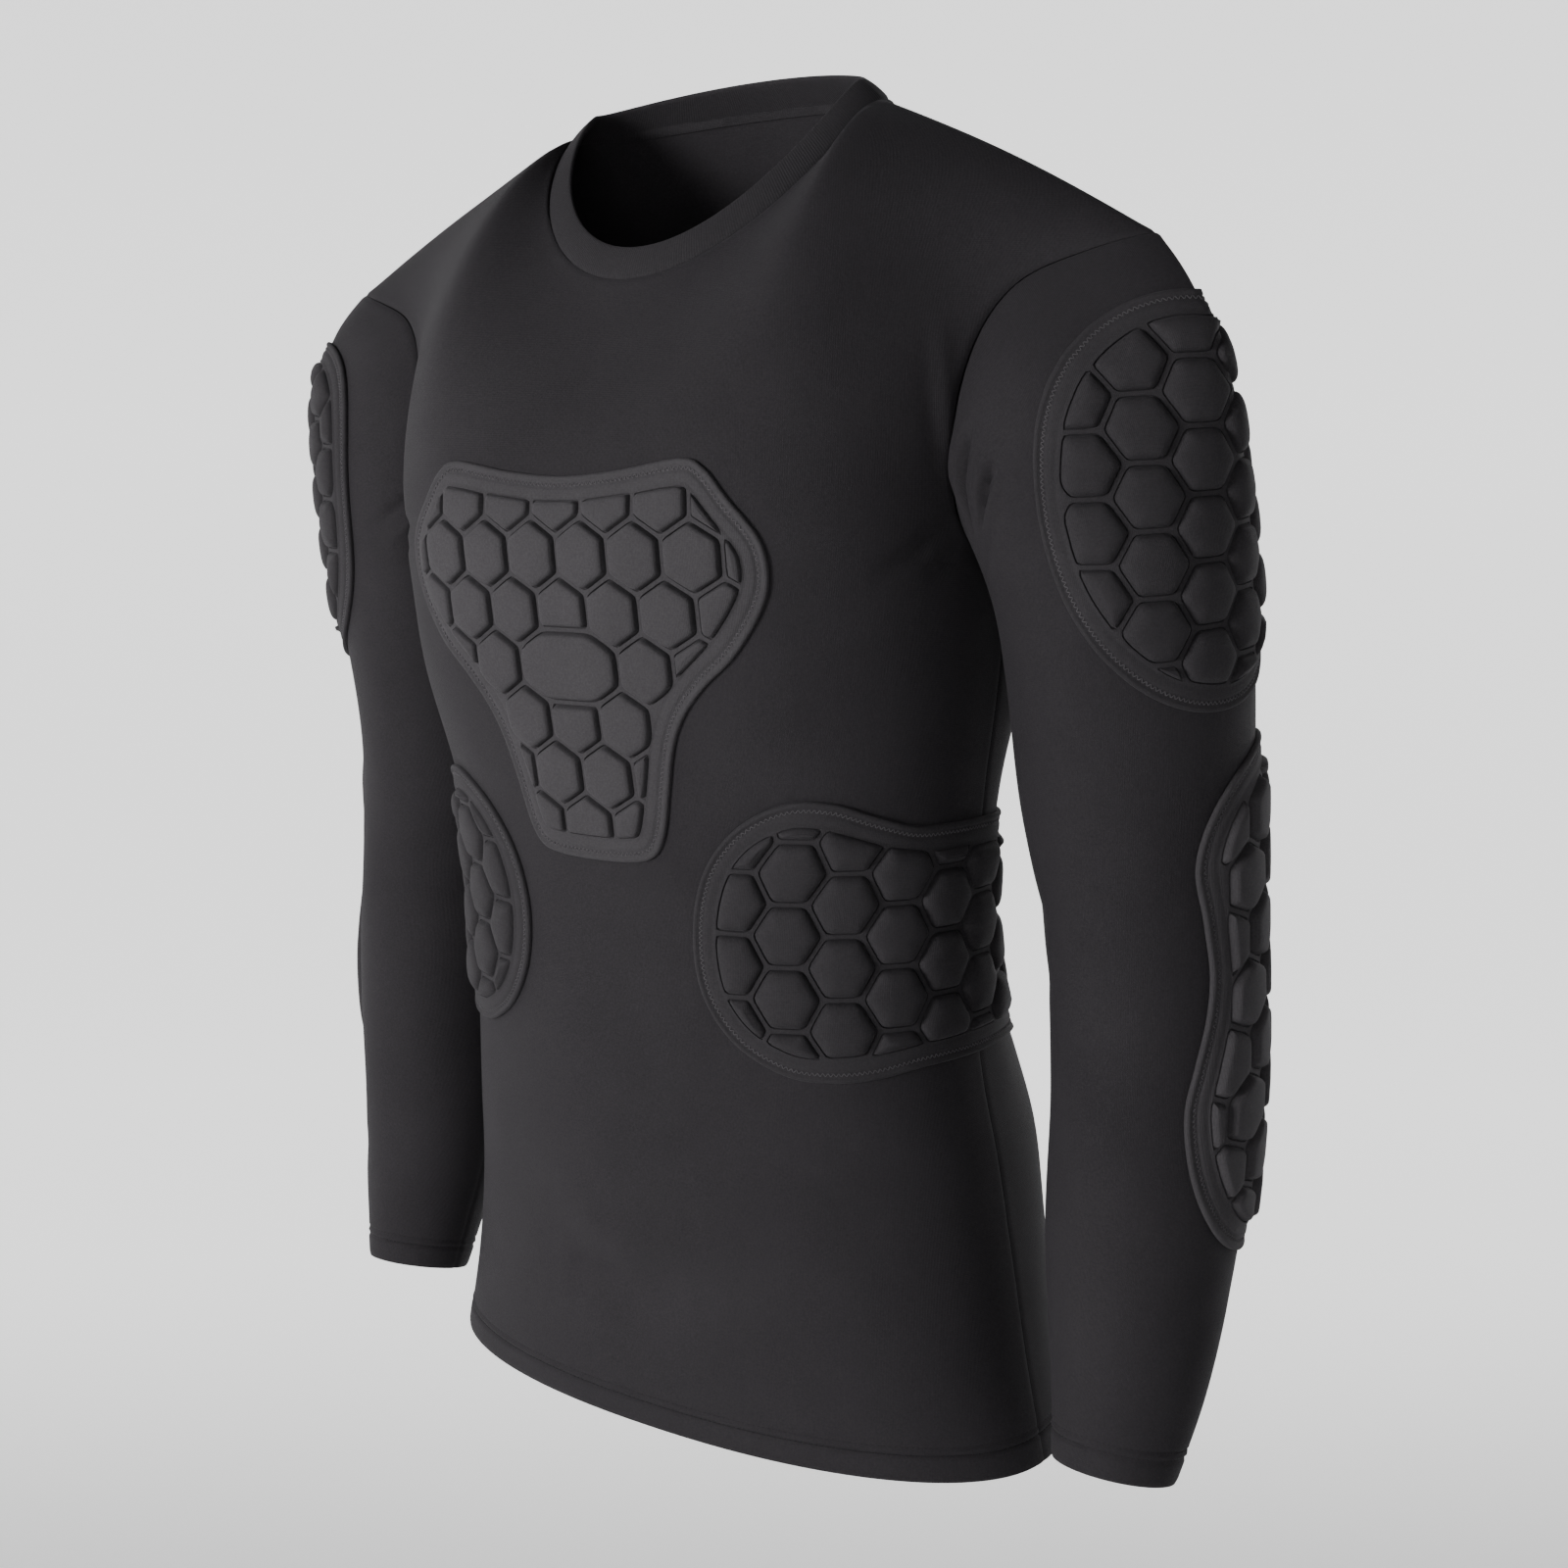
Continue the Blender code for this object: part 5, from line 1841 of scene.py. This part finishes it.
class ClothEffects:
    """The node groups that the cloth finishes share."""

    def __init__(self) -> None:
        """Builds each group once."""
        self.knit = self.knit_group()
        self.mottle = self.mottle_group()
        self.pull = self.pull_group()

    def knit_group(self) -> bpy.types.NodeTree:
        """Fine knit wales with slanted legs, as a height from 0 to 1.

        Returns:
            The group's tree.
        """
        graph, given, out = new_group(
            "Knit wales",
            {"Flat": ("NodeSocketVector", None), "Wale": ("NodeSocketFloat", 0.0008),
             "Course": ("NodeSocketFloat", 0.0009), "Slant": ("NodeSocketFloat", 0.5)},
            {"Height": "NodeSocketFloat"})
        split = graph.add("ShaderNodeSeparateXYZ")
        graph.feed(split.inputs[0], given.outputs["Flat"])
        wale = graph.math("FRACT", graph.math("DIVIDE", split.outputs[0], given.outputs["Wale"]))
        fold = graph.math("ABSOLUTE", graph.math("MULTIPLY_ADD", wale, 2.0, -1.0))
        leg = graph.math("MULTIPLY", fold, given.outputs["Slant"])
        course = graph.math("ADD", graph.math("DIVIDE", split.outputs[1], given.outputs["Course"]), leg)
        wave = graph.math("SINE", graph.math("MULTIPLY", course, 2 * math.pi))
        loops = graph.math("MULTIPLY_ADD", wave, 0.25, 0.75)
        ridge = graph.math("SINE", graph.math("MULTIPLY", wale, math.pi))
        graph.feed(out.inputs["Height"], graph.math("MULTIPLY", ridge, loops))
        return graph.tree

    def mottle_group(self) -> bpy.types.NodeTree:
        """Cloudy and fine unevenness of a dyed knit, as a value round 0.5.

        Returns:
            The group's tree.
        """
        graph, given, out = new_group(
            "Dye mottle",
            {"Position": ("NodeSocketVector", None), "Cloud": ("NodeSocketFloat", 14.0),
             "Grain": ("NodeSocketFloat", 900.0), "Grain Share": ("NodeSocketFloat", 0.6)},
            {"Value": "NodeSocketFloat"})
        cloud = graph.noise(given.outputs["Position"], given.outputs["Cloud"], 3.0, 0.5)
        grain = graph.noise(given.outputs["Position"], given.outputs["Grain"], 2.0, 0.6)
        mix = graph.add("ShaderNodeMix", data_type="FLOAT")
        graph.feed(mix.inputs[0], given.outputs["Grain Share"])
        graph.feed(mix.inputs[2], cloud)
        graph.feed(mix.inputs[3], grain)
        graph.feed(out.inputs["Value"], mix.outputs[0])
        return graph.tree

    def pull_group(self) -> bpy.types.NodeTree:
        """Fine lines where the cover is pulled over the foam, as a height from 0 to 1.

        Returns:
            The group's tree.
        """
        graph, given, out = new_group(
            "Pull lines",
            {"Flat": ("NodeSocketVector", None), "Along": ("NodeSocketFloat", 45.0),
             "Across": ("NodeSocketFloat", 420.0), "Patch": ("NodeSocketFloat", 28.0)},
            {"Height": "NodeSocketFloat"})
        split = graph.add("ShaderNodeSeparateXYZ")
        graph.feed(split.inputs[0], given.outputs["Flat"])
        x = graph.math("MULTIPLY", split.outputs[0], given.outputs["Along"])
        y = graph.math("MULTIPLY", split.outputs[1], given.outputs["Across"])
        slant = graph.math("MULTIPLY_ADD", split.outputs[0], 30.0, y)
        join = graph.add("ShaderNodeCombineXYZ")
        graph.feed(join.inputs[0], x)
        graph.feed(join.inputs[1], slant)
        lines = graph.noise(join.outputs[0], 1.0, 2.0, 0.5)
        patch = graph.noise(given.outputs["Flat"], given.outputs["Patch"], 1.0, 0.5)
        strong = graph.math("MAXIMUM", graph.math("MULTIPLY_ADD", patch, 5.0, -2.2), 0.0)
        mask = graph.math("SMOOTH_MIN", strong, 1.0, 0.2)
        graph.feed(out.inputs["Height"], graph.math("MULTIPLY", lines, mask))
        return graph.tree


@dataclass(frozen=True)
class ClothFinish:
    """A matt stretch fabric: its dye, its knit and its sheen."""

    name: str
    dark: tuple[float, float, float]
    light: tuple[float, float, float]
    roughness: float = 0.82
    sheen: float = 0.05
    sheen_tint: tuple[float, float, float] = (0.72, 0.70, 0.76)
    wale: float = 0.8 * MM
    course: float = 0.9 * MM
    slant: float = 0.5
    knit_depth: float = 0.10 * MM
    pull_depth: float = 0.0
    grain_share: float = 0.6

    def material(self, effects: ClothEffects) -> bpy.types.Material:
        """Builds the material.

        Args:
            effects: the shared node groups.

        Returns:
            The material.
        """
        material = bpy.data.materials.new(self.name)
        material.use_nodes = True
        graph = Graph(material.node_tree)
        shader = material.node_tree.nodes["Principled BSDF"]
        position = graph.add("ShaderNodeTexCoord").outputs["Object"]
        flat = graph.add("ShaderNodeUVMap", uv_map="cloth").outputs["UV"]
        mottle = graph.add("ShaderNodeGroup", node_tree=effects.mottle)
        graph.feed(mottle.inputs["Position"], position)
        graph.feed(mottle.inputs["Grain Share"], self.grain_share)
        spread = graph.math("MULTIPLY_ADD", mottle.outputs["Value"], 3.0, -1.0)
        clamp = graph.add("ShaderNodeClamp")
        graph.feed(clamp.inputs[0], spread)
        colour = graph.add("ShaderNodeMix", data_type="RGBA")
        graph.feed(colour.inputs[0], clamp.outputs[0])
        colour.inputs[6].default_value = (*self.dark, 1.0)
        colour.inputs[7].default_value = (*self.light, 1.0)
        graph.feed(shader.inputs["Base Color"], colour.outputs[2])
        rough = graph.math("MULTIPLY_ADD", clamp.outputs[0], -0.10, self.roughness + 0.05)
        graph.feed(shader.inputs["Roughness"], rough)
        knit = graph.add("ShaderNodeGroup", node_tree=effects.knit)
        graph.feed(knit.inputs["Flat"], flat)
        graph.feed(knit.inputs["Wale"], self.wale)
        graph.feed(knit.inputs["Course"], self.course)
        graph.feed(knit.inputs["Slant"], self.slant)
        relief = graph.add("ShaderNodeBump")
        relief.inputs["Strength"].default_value = 1.0
        relief.inputs["Distance"].default_value = self.knit_depth
        graph.feed(relief.inputs["Height"], knit.outputs["Height"])
        if self.pull_depth:
            pull = graph.add("ShaderNodeGroup", node_tree=effects.pull)
            graph.feed(pull.inputs["Flat"], flat)
            pulled = graph.add("ShaderNodeBump")
            pulled.inputs["Strength"].default_value = 1.0
            pulled.inputs["Distance"].default_value = self.pull_depth
            graph.feed(pulled.inputs["Height"], pull.outputs["Height"])
            graph.feed(relief.inputs["Normal"], pulled.outputs["Normal"])
        graph.feed(shader.inputs["Normal"], relief.outputs["Normal"])
        shader.inputs["Sheen Weight"].default_value = self.sheen
        shader.inputs["Sheen Roughness"].default_value = 0.45
        shader.inputs["Sheen Tint"].default_value = (*self.sheen_tint, 1.0)
        shader.inputs["Specular IOR Level"].default_value = 0.15
        return material


JERSEY = ClothFinish("black stretch jersey", (0.0185, 0.0167, 0.0190), (0.0265, 0.0241, 0.0270))
COVER = ClothFinish("pad cover", (0.0245, 0.0226, 0.0250), (0.0345, 0.0319, 0.0350), pull_depth=0.55 * MM)
# The chest and elbow cover is coloured lighter than the jersey: a painted sheen for the light its cells
# catch.
PAINTED_SHEEN_COVER = ClothFinish("smooth pad cover", (0.0390, 0.0364, 0.0395), (0.0550, 0.0515, 0.0556))
RIB = ClothFinish("ribbed neckband", (0.0205, 0.0187, 0.0209), (0.0285, 0.0262, 0.0290), wale=1.5 * MM,
                  course=0.8 * MM, slant=0.15, knit_depth=0.16 * MM)
HEM_THREAD = ClothFinish("hem thread", (0.0120, 0.0110, 0.0123), (0.0170, 0.0157, 0.0173),
                         wale=0.35 * MM, course=0.35 * MM, slant=1.0, knit_depth=0.03 * MM)
PAD_THREAD = ClothFinish("pad thread", (0.0620, 0.0580, 0.0628), (0.0900, 0.0845, 0.0910), roughness=0.62,
                         wale=0.35 * MM, course=0.35 * MM, slant=1.0, knit_depth=0.03 * MM, sheen=0.08)


# Studio


@dataclass(frozen=True)
class SoftLight:
    """A large square lamp that looks at the shirt."""

    name: str
    place: tuple[float, float, float]
    size: float
    power: float
    colour: tuple[float, float, float] = (1.0, 1.0, 1.0)

    def build(self, target: Vector) -> None:
        """Adds the lamp.

        Args:
            target: the point that it looks at.
        """
        data = bpy.data.lights.new(self.name, "AREA")
        data.shape = "SQUARE"
        data.size = self.size
        data.energy = self.power
        data.color = self.colour
        lamp = bpy.data.objects.new(self.name, data)
        lamp.location = self.place
        lamp.rotation_euler = (target - Vector(self.place)).to_track_quat("-Z", "Y").to_euler()
        lamp.visible_camera = False
        bpy.context.scene.collection.objects.link(lamp)


@dataclass
class Studio:
    """The camera, the lamps and a pale round room with a coved floor."""

    eye: tuple[float, float, float] = (0.67404, -0.89043, -0.19542)
    azimuth: float = 35.468
    elevation: float = 8.021
    lens: float = 47.07
    sensor: float = 36.0
    floor_drop: float = 0.90
    room_radius: float = 5.5
    cove: float = 1.6
    wall: float = 4.6
    paper: float = 0.60
    glow: tuple[float, float] = (0.05, 1.25)
    glow_reach: tuple[float, float] = (0.4, 2.6)
    sky: float = 0.02
    aim: tuple[float, float, float] = (0.0, 0.0, -0.32)
    lamps: tuple[SoftLight, ...] = (
        SoftLight("key", (-0.70, -2.45, -0.20), 0.9, 64.0),
        SoftLight("upper left", (-1.9, -1.4, 0.55), 1.0, 11.0),
        SoftLight("front fill", (1.3, -2.15, -0.30), 1.2, 9.0),
        SoftLight("side fill", (2.3, 0.2, -0.3), 1.4, 0.6),
        SoftLight("back fill", (-0.4, 2.3, 0.2), 1.8, 6.0),
    )

    def camera(self) -> None:
        """Adds the camera that took the photograph."""
        a, e = math.radians(self.azimuth), math.radians(self.elevation)
        back = Vector((math.sin(a) * math.cos(e), -math.cos(a) * math.cos(e), math.sin(e)))
        right = Vector((math.cos(a), math.sin(a), 0.0))
        up = back.cross(right)
        data = bpy.data.cameras.new("camera")
        data.lens = self.lens
        data.sensor_width = self.sensor
        data.clip_start = 0.01
        made = bpy.data.objects.new("camera", data)
        turn = Matrix((right, up, back)).transposed().to_4x4()
        made.matrix_world = Matrix.Translation(Vector(self.eye)) @ turn
        bpy.context.scene.collection.objects.link(made)
        bpy.context.scene.camera = made

    def room(self, floor_z: float) -> None:
        """Adds the floor, which curves up into a round wall.

        Args:
            floor_z: height of the floor.
        """
        profile = [(r, 0.0) for r in np.linspace(0.0, self.room_radius - self.cove, 5)]
        for angle in np.linspace(0, math.pi / 2, 13)[1:]:
            profile.append((self.room_radius - self.cove + self.cove * math.sin(angle),
                            self.cove * (1 - math.cos(angle))))
        profile.append((self.room_radius, self.wall))
        around = np.linspace(0, 2 * math.pi, 96, endpoint=False)
        points = [(r * math.cos(t), r * math.sin(t), floor_z + z) for r, z in profile[1:] for t in around]
        points.append((0.0, 0.0, floor_z))
        n, centre = len(around), len(points) - 1
        faces = [(centre, k, (k + 1) % n) for k in range(n)]
        for r in range(len(profile) - 2):
            near, far = r * n, (r + 1) * n
            faces += [(near + k, far + k, far + (k + 1) % n, near + (k + 1) % n) for k in range(n)]
        mesh = bpy.data.meshes.new("studio_floor")
        mesh.from_pydata(points, [], faces)
        mesh.shade_smooth()
        material = bpy.data.materials.new("studio paper")
        material.use_nodes = True
        shader = material.node_tree.nodes["Principled BSDF"]
        shader.inputs["Base Color"].default_value = (self.paper, self.paper, self.paper, 1.0)
        shader.inputs["Roughness"].default_value = 0.95
        shader.inputs["Specular IOR Level"].default_value = 0.1
        shader.inputs["Emission Strength"].default_value = 1.0
        graph = Graph(material.node_tree)
        split = graph.add("ShaderNodeSeparateXYZ")
        graph.feed(split.inputs[0], graph.add("ShaderNodeTexCoord").outputs["Object"])
        a = math.radians(self.azimuth)
        behind = graph.math("MULTIPLY_ADD", split.outputs[1], math.cos(a),
                            graph.math("MULTIPLY", split.outputs[0], -math.sin(a)))
        spread = graph.add("ShaderNodeMapRange", interpolation_type="SMOOTHSTEP")
        graph.feed(spread.inputs["Value"], behind)
        for socket, value in zip(list(spread.inputs)[1:5], (*self.glow_reach, *self.glow)):
            socket.default_value = value
        join = graph.add("ShaderNodeCombineXYZ")
        for socket in join.inputs:
            graph.feed(socket, spread.outputs["Result"])
        graph.feed(shader.inputs["Emission Color"], join.outputs[0])
        mesh.materials.append(material)
        floor = bpy.data.objects.new("studio_floor", mesh)
        bpy.context.scene.collection.objects.link(floor)
        floor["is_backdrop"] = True

    def build(self, lowest: float) -> None:
        """Sets up the whole studio.

        Args:
            lowest: the lowest point of the shirt.
        """
        self.camera()
        self.room(lowest - self.floor_drop)
        world = bpy.data.worlds.new("studio")
        world.use_nodes = True
        background = world.node_tree.nodes["Background"]
        background.inputs["Color"].default_value = (1.0, 1.0, 1.0, 1.0)
        background.inputs["Strength"].default_value = self.sky
        bpy.context.scene.world = world
        for lamp in self.lamps:
            lamp.build(Vector(self.aim))


@dataclass
class Shirt:
    """The whole shirt: cloth, neckband, pads and sewing."""

    torso: TorsoForm
    arm: ArmForm
    thread: Thread

    def cloth(self, jersey: bpy.types.Material, rib: bpy.types.Material) -> list[Piece]:
        """Builds the jersey pieces and the neckband.

        Args:
            jersey: finish of the panels and sleeves.
            rib: finish of the neckband.

        Returns:
            The stitching of the hem and the cuffs.
        """
        sewn = []
        for facing in Facing:
            panel = Panel(torso=self.torso, facing=facing)
            made = panel.build(jersey)
            sewn.append(panel.stitching(self.thread))
            log.info("%s with %d faces", made.name, len(made.data.polygons))
        for side in Side:
            sleeve = Sleeve(arm=self.arm, side=side)
            made = sleeve.build(jersey)
            sewn.append(sleeve.stitching(self.thread))
            log.info("%s with %d faces", made.name, len(made.data.polygons))
        made = Neckband(self.torso).build(rib)
        log.info("%s with %d faces", made.name, len(made.data.polygons))
        return sewn

    def pads(self, smooth: bpy.types.Material, pulled: bpy.types.Material) -> list[Piece]:
        """Builds the seven pads.

        Args:
            smooth: the chest's and elbows' cover, coloured lighter than the jersey as a painted sheen.
            pulled: the cover of the ribs and shoulders, with fine pull lines.

        Returns:
            The stitching round the pads.
        """
        shares, rows = np.linspace(-1, 1, 49), np.linspace(0, 2, 81)
        front = panel_sheet(self.torso, Facing.FRONT, shares, rows, ())
        sleeve = sleeve_sheet(self.arm, np.linspace(0, 1, 41), np.linspace(0, 2, 61), ())
        both = (Side.LEFT, Side.RIGHT)
        chest = Pad("chest_pad", mirrored_outline(CHEST_EDGE, 0.0), ChestField(0.0, -0.279, 0.0183), CRISP)
        rib = Pad("rib_pad", mirrored_outline(RIB_EDGE, 0.0),
                  CellField(0.0, -0.410, 0.0182, 1.03, 0.0, False), SOFT)
        shoulder = Pad("shoulder_pad", oval_outline((-0.016, 0.0725), (0.0835, 0.0985), 3.0),
                       CellField(-0.022, 0.0625, 0.0179, 1.0, -6.0, False), SOFT)
        elbow = Pad("elbow_pad", mirrored_outline(ELBOW_EDGE, 0.029),
                    CellField(0.029, -0.1676, 0.01875), DEEP)
        sewn = []
        for pad, sheet, material, sides in (
            (chest, front, smooth, (None,)),
            (rib, side_sheet(self.torso), pulled, both),
            (shoulder, sleeve, pulled, both),
            (elbow, sleeve, smooth, both),
        ):
            pad.build(sheet, material, sides)
            stitching = pad.stitching(sheet, self.thread)
            sewn.append(stitching)
            if len(sides) > 1:
                sewn.append(stitching.mirrored())
            log.info("%s built", pad.name)
        return sewn


def main() -> None:
    """Builds the pieces in order, and the studio round them."""
    logging.basicConfig(level=logging.INFO, format="%(message)s")
    solid_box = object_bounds()
    effects = ClothEffects()
    torso = TorsoForm()
    shirt = Shirt(torso, ArmForm(torso), Thread())
    hems = shirt.cloth(JERSEY.material(effects), RIB.material(effects))
    edges = shirt.pads(PAINTED_SHEEN_COVER.material(effects), COVER.material(effects))
    for name, parts, finish, slot in (("hem_stitching", hems, HEM_THREAD, Slot.JERSEY),
                                      ("pad_stitching", edges, PAD_THREAD, Slot.PADDING)):
        made = Piece.joined(parts).build(name, finish.material(effects), slot)
        log.info("%s with %d faces", made.name, len(made.data.polygons))
    Studio().build(solid_box[0].z)


if __name__ == "__main__":
    main()
